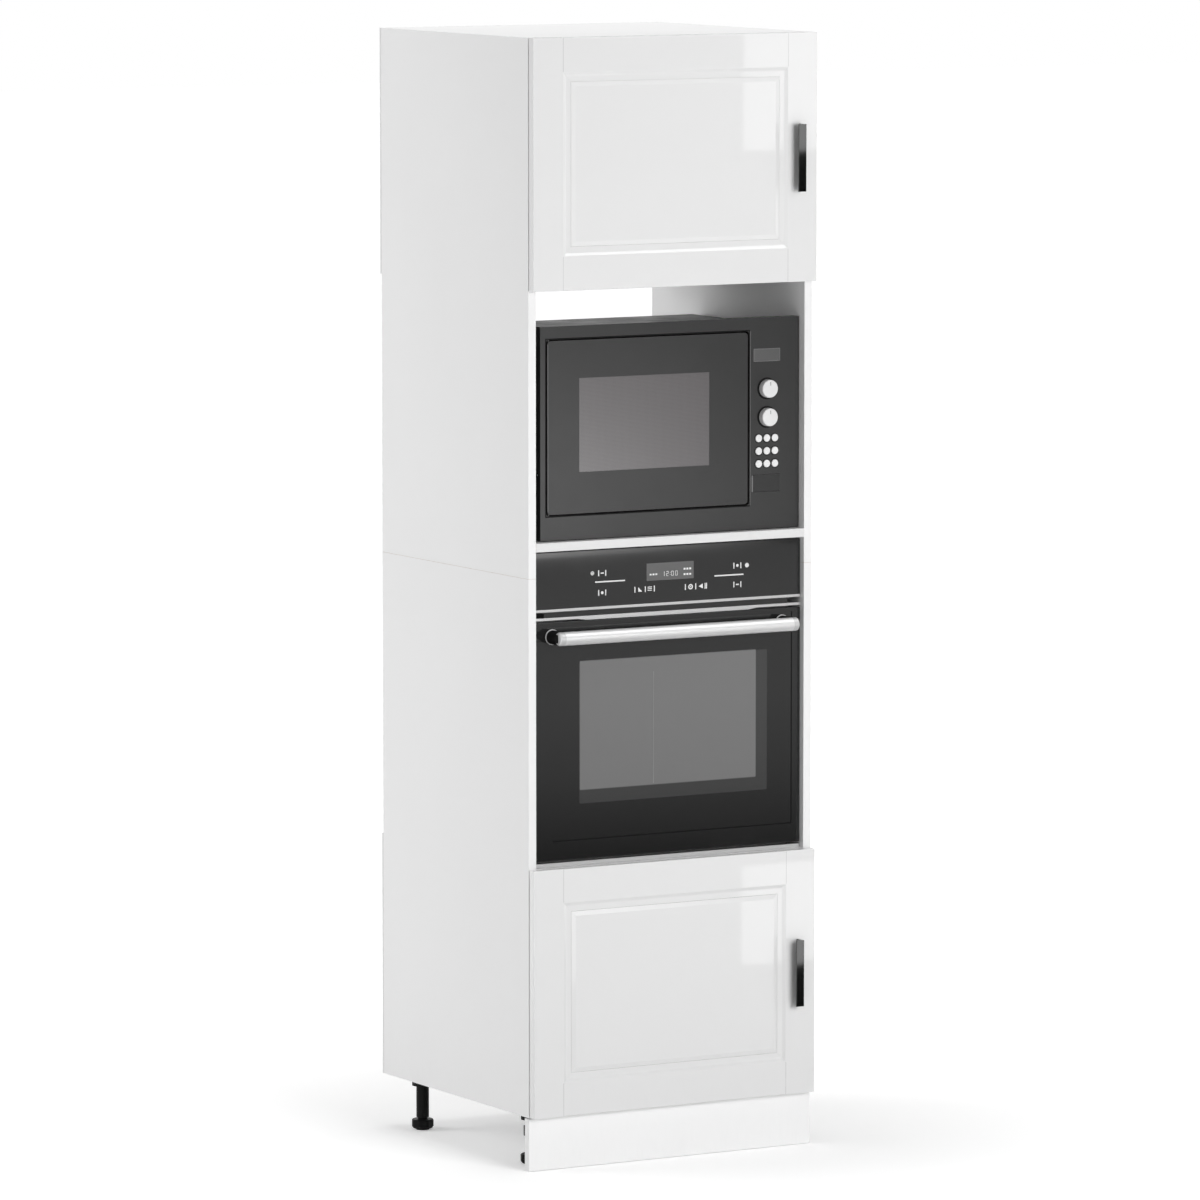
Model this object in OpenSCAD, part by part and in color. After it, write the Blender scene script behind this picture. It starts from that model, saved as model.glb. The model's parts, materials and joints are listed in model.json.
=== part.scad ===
// Tall kitchen cabinet with a fitted oven, a shelf-mounted microwave oven and two cupboards.
// Z is up from the floor. The front faces -Y. X = 0 and Y = 0 are the middle of the whole width and depth.

/* [Cabinet] */
// Width over the side panels
cabinet_w = 600; // [580:1:640]
// Depth of the side panels, without the back panels
carcass_d = 560; // [550:1:680]
// Thickness of every carcass panel
panel_t = 16; // [15:0.5:19]
// Thickness of the back panels
back_t = 5; // [3:0.5:8]
// Height of the bottom panel above the floor
leg_h = 100; // [80:1:140]
// Clear height inside each cupboard
cupboard_h = 426; // [340:1:520]
// Clear height of the oven bay
oven_bay_h = 580; // [580:1:700]
// Clear height of the microwave bay
microwave_bay_h = 458; // [430:1:560]
// Height of the joint between lower and upper side panels, above the oven shelf
side_joint_rise = 532; // [500:1:560]
// Diameter of the wooden dowels in the panel joints
dowel_d = 8; // [6:1:10]

/* [Cupboard doors] */
// Thickness of a cupboard door
door_t = 16; // [15:0.5:22]
// Gap between a closed door and the carcass
door_gap = 2; // [1.5:0.1:4]
// How far a door stops short of the cabinet's outline
door_reveal = 1; // [0.5:0.1:3]
// Width of the flat part of stiles and rails
stile_w = 62; // [50:1:90]
// Width of the moulding inside the stiles and rails
moulding_w = 17.5; // [15:0.5:24]
// Depth of the moulding's floor behind the door's front face
moulding_depth = 3.2; // [2:0.1:4]
// How deep the edge of the middle panel lies behind the front face
panel_recess = 5; // [5:0.5:7]
// How deep the raised middle of the panel lies behind the front face
field_recess = 0.8; // [0.4:0.1:1.6]
// Width of the slope around the raised middle
field_slope_w = 8.5; // [6:0.5:14]
// Thickness of the middle panel's edge
door_panel_t = 8; // [5:0.5:8]
// Length of a cupboard door's pull handle
pull_l = 124; // [96:1:200]
// Width of the pull handle's front strip
pull_w = 16.5; // [14:0.5:24]
// Thickness of the front strip
pull_t = 2.5; // [2:0.5:4]
// Thickness of the web between the front strip and the door
pull_web = 5; // [4:0.5:6]
// How far the pull handle stands off the door
pull_reach = 20; // [16:1:32]
// Distance from a door's right edge to the middle of its pull handle
pull_inset = 43; // [30:1:60]
// Distance from a door's end to the middle of its hinge cup
hinge_inset = 90; // [80:1:120]
// Diameter of the hinge cup
cup_d = 35; // [35:1:40]
// Depth of the hinge cup in the door
cup_depth = 13; // [12.5:0.5:13.5]

/* [Legs and plinth] */
// Diameter of a leg's foot
foot_d = 42; // [36:1:60]
// Diameter of a leg's tube
leg_d = 24; // [22:1:34]
// Diameter of the collar at the top of a leg
leg_collar_d = 40; // [36:1:56]
// Height of the collar, with the flange on it
leg_collar_h = 16; // [10:1:20]
// Height of the foot
foot_h = 20; // [14:1:26]
// Distance of the legs from the cabinet's sides
leg_side_inset = 45; // [40:1:90]
// Distance of the front and rear legs from the carcass front and back
leg_end_inset = 70; // [60:1:110]

/* [Oven] */
// How far the oven's face lies behind the carcass front
oven_recess = 12; // [6:1:24]
// Height of the oven's control panel
oven_panel_h = 104; // [90:1:130]
// Clear width of the oven's cavity
oven_cavity_w = 460; // [380:1:470]
// Clear depth of the oven's cavity
oven_cavity_d = 412; // [380:1:440]
// Diameter of the oven door's handle bar
oven_bar_d = 25; // [16:1:30]
// Distance of the handle bar's middle from the oven's face
oven_bar_reach = 38; // [34:1:60]
// Diameter of the posts behind the bar's ends
oven_post_d = 22; // [14:1:24]
// Radius of the hot-air fan
fan_r = 62; // [50:1:75]

/* [Microwave oven] */
// How far the microwave's face lies behind the carcass front
microwave_recess = 18; // [10:1:30]
// Width of the microwave's face
microwave_w = 548; // [520:1:548]
// Height of the microwave above its shelf
microwave_h = 392; // [380:1:410]
// Width of the microwave's door
microwave_door_w = 423; // [400:1:424]
// Depth of the microwave behind its face
microwave_d = 366; // [360:1:520]
// How far the microwave's casing is set in from the sides of its face
case_inset = 13; // [4:1:16]
// How far the casing's top lies below the top of the face
case_drop = 19; // [4:1:22]
// Radius of the turntable's glass plate
turntable_r = 157; // [120:1:160]
// Diameter of a control knob
knob_d = 34; // [26:1:38]
// Diameter of a key
key_d = 14; // [10:0.5:14]

/* [Fits] */
// Radial clearance of a shaft or pin in its bore
pin_fit = 0.05; // [0.02:0.01:0.1]
// Clearance around a piece that slides in a hole
slide_fit = 0.3; // [0.2:0.05:0.5]
// Gap in the joint between two fixed pieces
joint_gap = 0.1; // [0.05:0.05:0.2]

/* [Hidden] */
$fn = 48;

// Depth positions in the modules count from the carcass front; carcass_frame() puts them in the shared frame
front_most = max(oven_bar_reach - oven_recess + oven_bar_d / 2, door_gap + door_t + pull_reach);
front_y = (front_most - carcass_d - back_t) / 2;

inner_w = cabinet_w - 2 * panel_t;
half_in = inner_w / 2;
bottom_z = leg_h;
lower_in_z = bottom_z + panel_t;
oven_shelf_z = lower_in_z + cupboard_h;
oven_bay_z = oven_shelf_z + panel_t;
middle_shelf_z = oven_bay_z + oven_bay_h;
microwave_bay_z = middle_shelf_z + panel_t;
upper_floor_z = microwave_bay_z + microwave_bay_h;
upper_in_z = upper_floor_z + panel_t;
top_z = upper_in_z + cupboard_h;
cabinet_top = top_z + panel_t;
side_joint_z = oven_bay_z + side_joint_rise;
dowel_ys = [60, carcass_d / 2, carcass_d - 60];
dowel_in_side = 10;
dowel_in_panel = 24;

door_w = cabinet_w - 2 * door_reveal;
door_h = cupboard_h + 2 * panel_t - door_reveal;
door_face_y = -door_gap - door_t;
door_left = -door_w / 2;
lower_door_z = bottom_z + door_reveal / 2;
upper_door_z = upper_floor_z + door_reveal / 2;
cup_x = door_left + 22.5;
// The door turns about an upright line in its own corner
pole_x = door_left + 3;
pole_y = -door_gap - cup_depth;
door_swing = 95;
// Pin in the cup, and pin in the arm's nose, which is as far from the cup's pin when shut as when open
cup_pin_dx = 6.6;
cup_pin_dy = 9.6;
nose_a = atan2(cup_pin_dy, cup_pin_dx) - door_swing / 2;
nose_dist = 29.9;
cup_pin_x = pole_x + cup_pin_dx;
cup_pin_y = pole_y + cup_pin_dy;
nose_x = pole_x + nose_dist * cos(nose_a);
nose_y = pole_y + nose_dist * sin(nose_a);
hinge_pin_r = 1.2;
nose_r = 2.8;
link_w = 4.4;
slot_w = 2 * hinge_pin_r + 2.7;
slot_wall = 0.6;
slot_l = 6;
// Flange of the cup: its height, thickness and the distance between its screws
cup_flange_h = 58;
cup_flange_t = 1;
cup_screw_gap = 46;
// Mounting plate on the side panel, and the block that carries the arm
plate_mid_y = 37;
plate_l = 22;
plate_h = 48;
plate_t = 2;
arm_rise = 9;
arm_back_y = 60;
arm_sheet = 1.6;
arm_half_h = 3.4;

leg_xs = [-1, 1] * (cabinet_w / 2 - leg_side_inset);
leg_ys = [leg_end_inset, carcass_d - leg_end_inset];
leg_flange_t = 4;
leg_flange_w = 60;
stem_r = 9;
// Clip of the plinth: its plate, and its ring round a leg's tube
clip_z = leg_h / 2;
clip_w = 36;
clip_h = 26;
clip_t = 3;
clip_ring_h = 18;

oven_face_y = oven_recess;
oven_half_w = half_in - 1;
oven_case_half = half_in - 6;
oven_top_z = middle_shelf_z - 3;
oven_panel_z = oven_top_z - oven_panel_h;
// Bright strips: under the control panel, above the door with a deeper lip in its middle, and under the door
strip_t = 5;
strip_h = 5;
strip_drop = 15.5;
lip_h = 2.5;
lower_strip_h = 6.5;
oven_door_z = oven_bay_z + 11;
oven_door_top = oven_panel_z - strip_drop - strip_h - lip_h - 1;
oven_front_y = oven_face_y + 36;
oven_door_back = oven_front_y - 2;
oven_axis_y = oven_face_y + 16;
oven_axis_z = oven_bay_z + 26;
oven_half = oven_cavity_w / 2;
oven_cavity_z = oven_bay_z + 64;
oven_cavity_top = oven_door_top - 31;
oven_door_half = oven_half + 28;
lip_half = oven_door_half * 2 / 3;
oven_wall = 1.2;
oven_glass_t = 4;
oven_pin_r = 4;
lug_r = 7;
lug_t = 6;
oven_back_in = oven_front_y + 2 + oven_cavity_d;
guide_r = 2.5;
guide_post_r = 2;
guide_x = oven_half - 5.5;
guide_levels = [for (i = [1:5]) oven_cavity_z + i * (oven_cavity_top - oven_cavity_z) / 6];
rack_r = 3;
rack_rod_x = oven_half - 7.2;
rack_z = guide_levels[2] + sqrt(pow(guide_r + rack_r, 2) - pow(guide_x - rack_rod_x, 2)) + 0.02;
fan_y = oven_back_in - 22;
fan_z = (oven_cavity_z + oven_cavity_top) / 2;
fan_shaft_r = 4;
// Cover in front of the fan
cover_half_w = fan_r + 53;
cover_half_h = fan_r + 43;
cover_d = 40;
cover_t = 1.5;
// Heating element: radius of its rod, distance between its runs and how far it hangs below the roof
element_r = 3.5;
element_pitch = 100;
element_drop = 22;
// Handle of the door
handle_z = oven_door_top - 26.5;
oven_bar_half = oven_door_half - 5;
bar_end_r = 3;
oven_post_x = oven_bar_half - 9;
disc_r = oven_post_d / 2 + 4;
disc_t = 1.5;

mw_face_y = microwave_recess;
mw_right = half_in - 1;
mw_left = mw_right - microwave_w;
mw_z = microwave_bay_z + 2;
mw_top = microwave_bay_z + microwave_h;
mw_body_y = mw_face_y + 25;
mw_back_y = mw_face_y + microwave_d;
mw_door_left = mw_left + 15;
mw_door_right = mw_door_left + microwave_door_w;
mw_door_z = microwave_bay_z + 49;
mw_door_top = microwave_bay_z + 365.5;
mw_door_t = 22;
mw_gap = 2.6;
mw_corner = 7;
mw_axis_x = mw_door_left + 3.2;
mw_axis_y = mw_face_y + 3.2;
mw_pin_r = 1.8;
mw_panel_x = mw_door_right + mw_gap;
mw_controls_x = (mw_panel_x + mw_right) / 2 - 15.5;
mw_cavity_x0 = mw_door_left + 32;
mw_cavity_x1 = mw_door_right - 40;
mw_cavity_z0 = mw_door_z + 30;
mw_cavity_z1 = mw_door_top - 34;
mw_wall = 1.2;
mw_case_wall = 1;
mw_skin = 3;
mw_foot_h = 10;
mw_foot_r = 12;
mw_case_x0 = mw_left + case_inset;
mw_case_x1 = mw_right - case_inset;
mw_case_z = microwave_bay_z + mw_foot_h;
mw_case_top = mw_top - case_drop;
mw_cavity_back = mw_back_y - mw_case_wall - 8;
turntable_x = (mw_cavity_x0 + mw_cavity_x1) / 2;
turntable_y = (mw_body_y + 2 + mw_cavity_back) / 2;
roller_r = 7;
ring_r = 92;
spindle_r = 4;
plate_z = mw_cavity_z0 + 0.4 + 2 * roller_r + 0.3;
knob_zs = [261, 208.4] + [1, 1] * microwave_bay_z;
key_xs = [-1, 0, 1] * 17.3;
key_zs = [169.3, 145.7, 122.1] + [1, 1, 1] * microwave_bay_z;
knob_h = 14;
knob_shaft_r = 3;
key_h = 8;
display_half_w = 28.5;
display_z = microwave_bay_z + 311;
display_h = 24;
// Window of the door
mw_window_x0 = mw_door_left + 66.5;
mw_window_x1 = mw_door_right - 81.7;
mw_window_z0 = microwave_bay_z + 124.5;
mw_window_z1 = microwave_bay_z + 296;
// Hooks of the door's latch
hook_zs = [mw_door_z + 60, mw_door_top - 60];
hook_x = mw_door_right - 8;
hook_t = 3;
hook_h = 10;
button_w = 56;
button_h = 31.5;
button_z = microwave_bay_z + 86;

function arc(cx, cy, r, a0, a1, n = 6) =
    [for (i = [0:n]) [cx + r * cos(a0 + (a1 - a0) * i / n), cy + r * sin(a0 + (a1 - a0) * i / n)]];

module carcass_frame() translate([0, front_y, 0]) children();

// A box from two opposite corners
module box(p, q) translate(p) cube(q - p);

// A cylinder along Y from y0 to y1
module y_rod(x, z, r, y0, y1) translate([x, y0, z]) rotate([-90, 0, 0]) cylinder(h = y1 - y0, r = r);

// A cylinder along X from x0 to x1
module x_rod(y, z, r, x0, x1) translate([x0, y, z]) rotate([0, 90, 0]) cylinder(h = x1 - x0, r = r);

// A plate in the XZ plane with rounded corners, from y0 to y1
module rounded_plate(x0, x1, z0, z1, y0, y1, r) {
    translate([0, y1, 0]) rotate([90, 0, 0]) linear_extrude(y1 - y0)
        polygon(concat(
            arc(x1 - r, z0 + r, r, -90, 0), arc(x1 - r, z1 - r, r, 0, 90),
            arc(x0 + r, z1 - r, r, 90, 180), arc(x0 + r, z0 + r, r, 180, 270)));
}

// A row of upright slots that cut Y = 0 to d, with its middle at X = 0 and Z = 0
module slot_row(n, pitch, w, h, d) {
    for (i = [0:n - 1])
        translate([(i - (n - 1) / 2) * pitch - w / 2, 0, -h / 2]) cube([w, d, h]);
}

// Carcass panels

module panel_end_dowels(z, side) {
    for (y = dowel_ys)
        x_rod(y, z + panel_t / 2, dowel_d / 2,
            side > 0 ? half_in - dowel_in_panel : -half_in - dowel_in_side,
            side > 0 ? half_in + dowel_in_side : -half_in + dowel_in_panel);
}

module side_joint_dowels(side) {
    for (y = dowel_ys)
        translate([side * (half_in + panel_t / 2), y, side_joint_z - 18]) cylinder(h = 36, r = dowel_d / 2);
}

panel_zs = [bottom_z, oven_shelf_z, middle_shelf_z, upper_floor_z, top_z];

module side_panel(side, z0, z1) {
    x0 = side > 0 ? half_in : -half_in - panel_t;
    difference() {
        box([x0, 0, z0], [x0 + panel_t, carcass_d, z1]);
        for (z = panel_zs)
            if (z >= z0 - 1 && z < z1)
                panel_end_dowels(z, side);
        side_joint_dowels(side);
    }
}

module cross_panel(z) {
    difference() {
        box([-half_in, 0, z], [half_in, carcass_d, z + panel_t]);
        panel_end_dowels(z, -1);
        panel_end_dowels(z, 1);
    }
}

module left_side_lower() color("whitesmoke") carcass_frame() side_panel(-1, bottom_z, side_joint_z);

module left_side_upper() color("whitesmoke") carcass_frame() side_panel(-1, side_joint_z, cabinet_top);

module right_side_lower() color("whitesmoke") carcass_frame() side_panel(1, bottom_z, side_joint_z);

module right_side_upper() color("whitesmoke") carcass_frame() side_panel(1, side_joint_z, cabinet_top);

module top_panel() color("whitesmoke") carcass_frame() cross_panel(top_z);

module upper_cupboard_floor() color("whitesmoke") carcass_frame() cross_panel(upper_floor_z);

module middle_shelf() color("whitesmoke") carcass_frame() cross_panel(middle_shelf_z);

module oven_shelf() color("whitesmoke") carcass_frame() cross_panel(oven_shelf_z);

module bottom_panel() color("whitesmoke") carcass_frame() cross_panel(bottom_z);

module back_panels() color("white") carcass_frame() {
    box([-cabinet_w / 2, carcass_d, bottom_z], [cabinet_w / 2, carcass_d + back_t, oven_bay_z]);
    box([-cabinet_w / 2, carcass_d, upper_floor_z], [cabinet_w / 2, carcass_d + back_t, cabinet_top]);
}

module panel_dowels() color("burlywood") carcass_frame() {
    for (side = [-1, 1]) {
        for (z = panel_zs)
            panel_end_dowels(z, side);
        side_joint_dowels(side);
    }
}

// Legs and plinth

module plinth_board() color("white") carcass_frame()
    box([-cabinet_w / 2, 0, 1], [cabinet_w / 2, panel_t, leg_h - 2]);

module plinth_clips() color("#202020") carcass_frame() {
    ring_z = clip_z + (clip_h - clip_ring_h) / 2;
    for (x = leg_xs)
        difference() {
            union() {
                box([x - clip_w / 2, panel_t, clip_z], [x + clip_w / 2, panel_t + clip_t, clip_z + clip_h]);
                box([x - 6, panel_t + clip_t, ring_z],
                    [x + 6, leg_ys[0] - leg_d / 2 + 1, ring_z + clip_ring_h]);
                translate([x, leg_ys[0], ring_z]) cylinder(h = clip_ring_h, r = leg_d / 2 + clip_t);
            }
            translate([x, leg_ys[0], clip_z]) cylinder(h = clip_h + 4, r = leg_d / 2 + joint_gap);
            // Mouth of the ring
            box([x - leg_d * 0.36, leg_ys[0], clip_z],
                [x + leg_d * 0.36, leg_ys[0] + leg_d, clip_z + clip_h + 4]);
        }
}

module leg_sockets() color("#202020") carcass_frame() {
    w = leg_flange_w;
    for (x = leg_xs, y = leg_ys)
        translate([x, y, 0])
            difference() {
                union() {
                    translate([-w / 2, -w / 2, leg_h - leg_flange_t]) cube([w, w, leg_flange_t]);
                    translate([0, 0, leg_h - leg_collar_h]) cylinder(h = leg_collar_h, r = leg_collar_d / 2);
                    translate([0, 0, foot_h + 4]) cylinder(h = leg_h - foot_h - 4, r = leg_d / 2);
                }
                translate([0, 0, foot_h]) cylinder(h = leg_h - 12 - foot_h, r = stem_r + pin_fit);
            }
}

// Foot with eight flats for the hand, and the stem that screws into the socket
module leg_foot(x, y) color("#202020") carcass_frame()
    translate([x, y, 0])
        intersection() {
            rotate_extrude()
                polygon([
                    [0, 0], [foot_d * 0.3, 0], [foot_d * 0.3, 3], [foot_d / 2 - 3, 3], [foot_d / 2, 7],
                    [foot_d / 2, foot_h - 2], [foot_d / 2 - 2, foot_h], [stem_r, foot_h],
                    [stem_r, leg_h - 20], [stem_r - 1, leg_h - 18], [0, leg_h - 18]]);
            translate([0, 0, -1]) cylinder(h = leg_h, r = foot_d * 0.515, $fn = 8);
        }

module front_left_foot() leg_foot(leg_xs[0], leg_ys[0]);

module front_right_foot() leg_foot(leg_xs[1], leg_ys[0]);

module rear_left_foot() leg_foot(leg_xs[0], leg_ys[1]);

module rear_right_foot() leg_foot(leg_xs[1], leg_ys[1]);

// Cupboard doors

// Section of a stile or rail: x from the outer edge inward, y from the front face back
module bar_section() {
    in = stile_w + moulding_w;
    top_r = 3;
    foot_r = 6;
    slope_y = moulding_depth - (top_r + foot_r) * (1 - cos(30));
    floor_x = stile_w + (top_r + foot_r) * sin(30) + slope_y / tan(30);
    polygon(concat(
        arc(1.5, 1.5, 1.5, 180, 270, 4),
        arc(stile_w, top_r, top_r, 270, 300, 3),
        arc(floor_x, moulding_depth - foot_r, foot_r, 120, 90, 3),
        arc(in - 0.6, moulding_depth + 0.6, 0.6, 270, 360, 3),
        [[in, panel_recess], [in - 8, panel_recess], [in - 8, panel_recess + door_panel_t],
         [in, panel_recess + door_panel_t], [in, door_t], [0, door_t]]));
}

// A stile or rail along Z, with its mitred moulding
module frame_bar(flat_l, moulded_l) {
    in = stile_w + moulding_w;
    flat_z = flat_l / 2;
    mould_z = moulded_l / 2;
    mitre_z = mould_z - moulding_w;
    intersection() {
        linear_extrude(flat_l, center = true) bar_section();
        translate([0, door_t + 1, 0]) rotate([90, 0, 0]) linear_extrude(door_t + 2)
            polygon([
                [-1, -flat_z], [stile_w, -flat_z], [stile_w, -mould_z], [in, -mitre_z],
                [in, mitre_z], [stile_w, mould_z], [stile_w, flat_z], [-1, flat_z]]);
    }
}

module door_frame(z0) {
    moulded_h = door_h - 2 * stile_w;
    moulded_w = door_w - 2 * stile_w;
    zm = z0 + door_h / 2;
    difference() {
        translate([door_left, door_face_y, zm]) frame_bar(door_h, moulded_h);
        for (z = hinge_zs(z0))
            y_rod(cup_x, z, cup_d / 2, -door_gap - cup_depth, 0);
    }
    translate([-door_left, door_face_y, zm]) mirror([1, 0, 0]) frame_bar(door_h, moulded_h);
    for (top = [0, 1])
        translate([0, door_face_y, z0 + top * door_h]) mirror([0, 0, top]) rotate([0, -90, 0])
            frame_bar(moulded_w - 2 * joint_gap, moulded_w - 2 * joint_gap - 0.6 * joint_gap);
}

// Section through the raised middle of a panel: x across a door of the given width, y back
module raised_section(across) {
    edge = stile_w + moulding_w + 0.3;
    field = edge + field_slope_w;
    polygon([
        [edge, panel_recess + 1], [edge, moulding_depth + 0.2], [field, field_recess],
        [across - field, field_recess], [across - edge, moulding_depth + 0.2],
        [across - edge, panel_recess + 1]]);
}

module door_middle(z0) {
    edge = stile_w + moulding_w - 8;
    box([door_left + edge, door_face_y + panel_recess, z0 + edge],
        [-door_left - edge, door_face_y + panel_recess + door_panel_t, z0 + door_h - edge]);
    intersection() {
        translate([door_left, door_face_y, z0]) linear_extrude(door_h) raised_section(door_w);
        translate([-door_left, door_face_y, z0]) rotate([0, -90, 0])
            linear_extrude(door_w) raised_section(door_h);
    }
}

// Angled pull handle: a flat strip in front of the door, on a web along the strip's right edge
module pull_handle(z0) {
    edge = 0.8;
    fillet = 2;
    back = -pull_reach + pull_t;
    translate([-door_left - pull_inset + pull_w / 2, door_face_y, z0 + (door_h - pull_l) / 2])
        linear_extrude(pull_l)
            polygon(concat(
                [[-pull_web, 0], [0, 0]],
                arc(-edge, -pull_reach + edge, edge, 0, -90, 4),
                arc(-pull_w + edge, -pull_reach + edge, edge, -90, -180, 4),
                [[-pull_w, back]],
                arc(-pull_web - fillet, back + fillet, fillet, -90, 0, 4)));
}

// Concealed hinges

function hinge_zs(z0) = [z0 + hinge_inset, z0 + door_h - hinge_inset];

module hinge_cup(z) {
    difference() {
        union() {
            y_rod(cup_x, z, cup_d / 2, -door_gap - cup_depth, -door_gap);
            box([cup_x - 5, -door_gap, z - cup_flange_h / 2],
                [cup_x + 9, -door_gap + cup_flange_t, z + cup_flange_h / 2]);
            y_rod(cup_x, z, cup_d / 2 + 1, -door_gap, -door_gap + cup_flange_t);
        }
        y_rod(cup_x, z, cup_d / 2 - 1.2, -door_gap - cup_depth + 0.8, 1);
        for (s = [-1, 1])
            y_rod(cup_x + 2, z + s * cup_screw_gap / 2, 2.5, -door_gap - 1, 1);
    }
    // Pin across the cup
    intersection() {
        translate([cup_pin_x, cup_pin_y, z - 12]) cylinder(h = 24, r = hinge_pin_r);
        y_rod(cup_x, z, cup_d / 2 - 1, -door_gap - cup_depth, -door_gap);
    }
}

module hinge_arm(z) {
    plate_y = plate_mid_y - plate_l / 2;
    nose_right = nose_x + nose_r;
    // Mounting plate on the side panel, and the block on it
    box([-half_in, plate_y, z - plate_h / 2], [-half_in + plate_t, plate_y + plate_l, z + plate_h / 2]);
    box([-half_in, 20, z - 7], [-half_in + arm_rise, arm_back_y + 2, z + 7]);
    // Forked arm with the pin in its nose
    for (dz = [-arm_half_h - arm_sheet, arm_half_h])
        translate([0, 0, z + dz]) linear_extrude(arm_sheet)
            polygon(concat(
                arc(nose_x, nose_y, nose_r, 180, 360, 8),
                [[nose_right, arm_back_y], [-half_in + arm_rise, arm_back_y],
                 [-half_in + arm_rise, 22], [nose_x - nose_r, 10]]));
    box([nose_right - 1.8, 6, z - arm_half_h], [nose_right, arm_back_y, z + arm_half_h]);
    translate([nose_x, nose_y, z - arm_half_h]) cylinder(h = 2 * arm_half_h, r = hinge_pin_r);
}

module hinge_arms() color("silver") carcass_frame()
    for (z = concat(hinge_zs(lower_door_z), hinge_zs(upper_door_z)))
        hinge_arm(z);

// A flat bar with round ends, from p to q in the XY plane
module round_bar(p, q, w, h) {
    l = norm(q - p);
    translate(p) rotate([0, 0, atan2(q[1] - p[1], q[0] - p[0])]) linear_extrude(h)
        polygon(concat(arc(0, 0, w / 2, 90, 270, 8), arc(l, 0, w / 2, -90, 90, 8)));
}

// Cranked link on the cup's pin, with a slot that rides on the pin of the arm's nose
module hinge_link(z) {
    dx = nose_x - cup_pin_x;
    dy = nose_y - cup_pin_y;
    reach = norm([dx, dy]);
    turn = atan2(dy, dx);
    knee = 6.5 * [cos(-45 - turn), sin(-45 - turn)];
    slot = [[reach - slot_l, 0], [reach, 0]];
    translate([cup_pin_x, cup_pin_y, z - 3]) rotate([0, 0, turn])
        difference() {
            union() {
                cylinder(h = 6, r = link_w / 2);
                round_bar([0, 0], knee, link_w - 0.2, 6);
                round_bar(knee, slot[0], link_w - 0.3, 6);
                round_bar(slot[0], slot[1], slot_w + 2 * slot_wall, 6);
            }
            translate([0, 0, -1]) cylinder(h = 8, r = hinge_pin_r + pin_fit);
            translate([0, 0, -1]) round_bar(slot[0], slot[1], slot_w, 8);
        }
}

module upper_door_frame() color("white") carcass_frame() door_frame(upper_door_z);

module upper_door_panel() color("white") carcass_frame() door_middle(upper_door_z);

module upper_door_handle() color("#181818") carcass_frame() pull_handle(upper_door_z);

module upper_hinge_cups() color("silver") carcass_frame()
    for (z = hinge_zs(upper_door_z))
        hinge_cup(z);

module upper_hinge_links() color("silver") carcass_frame()
    for (z = hinge_zs(upper_door_z))
        hinge_link(z);

module lower_door_frame() color("white") carcass_frame() door_frame(lower_door_z);

module lower_door_panel() color("white") carcass_frame() door_middle(lower_door_z);

module lower_door_handle() color("#181818") carcass_frame() pull_handle(lower_door_z);

module lower_hinge_cups() color("silver") carcass_frame()
    for (z = hinge_zs(lower_door_z))
        hinge_cup(z);

module lower_hinge_links() color("silver") carcass_frame()
    for (z = hinge_zs(lower_door_z))
        hinge_link(z);

// Oven

module oven_casing() color("#3a3a3c") carcass_frame() {
    w = oven_case_half;
    back = oven_back_in + 60;
    top = oven_top_z - 8;
    lug_l = oven_front_y - oven_axis_y;
    difference() {
        box([-w, oven_front_y, oven_bay_z], [w, back, top]);
        box([-w + oven_wall, oven_front_y + oven_wall, oven_bay_z + oven_wall],
            [w - oven_wall, back - oven_wall, top - oven_wall]);
        // Opening for the cavity
        box([-oven_half - oven_wall, oven_front_y - 1, oven_cavity_z - oven_wall],
            [oven_half + oven_wall, oven_front_y + oven_wall + 1, oven_cavity_top + oven_wall]);
        // Air slots behind the cavity
        translate([0, back - oven_wall - 1, fan_z]) slot_row(11, 14, 3.5, 90, oven_wall + 2);
    }
    // Lugs that hold the door's pins
    for (s = [-1, 1])
        translate([s * (oven_door_half + 7) - lug_t / 2, oven_axis_y, oven_axis_z])
            difference() {
                rotate([90, 0, 90]) linear_extrude(lug_t)
                    polygon(concat(arc(0, 0, lug_r, 100, 270, 10), [[lug_l, -lug_r], [lug_l, 20]]));
                translate([-1, 0, 0]) rotate([0, 90, 0]) cylinder(h = lug_t + 2, r = oven_pin_r + pin_fit);
            }
}

module oven_cavity() color("#505052") carcass_frame() {
    w = oven_half;
    back = oven_back_in;
    difference() {
        box([-w - oven_wall, oven_front_y, oven_cavity_z - oven_wall],
            [w + oven_wall, back + oven_wall, oven_cavity_top + oven_wall]);
        box([-w, oven_front_y - 1, oven_cavity_z], [w, back, oven_cavity_top]);
        y_rod(0, fan_z, fan_shaft_r + pin_fit, back - 1, back + oven_wall + 1);
        for (x = [-1.5, 1.5] * element_pitch)
            y_rod(x, oven_cavity_top - element_drop, element_r, back - 1, back + oven_wall + 1);
    }
    // Cover in front of the fan, with vent slots in its front and sides
    difference() {
        box([-cover_half_w, back - cover_d, fan_z - cover_half_h],
            [cover_half_w, back - joint_gap, fan_z + cover_half_h]);
        box([-cover_half_w + cover_t, back - cover_d + cover_t, fan_z - cover_half_h + cover_t],
            [cover_half_w - cover_t, back + 1, fan_z + cover_half_h - cover_t]);
        translate([0, back - cover_d - 2, fan_z]) slot_row(9, 10, 5, 70, 4);
        for (s = [-1, 1], i = [-3:3])
            translate([s * (cover_half_w - cover_t / 2), back - cover_d + 17, fan_z + i * 24])
                cube([4, 18, 12], center = true);
    }
}

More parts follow.
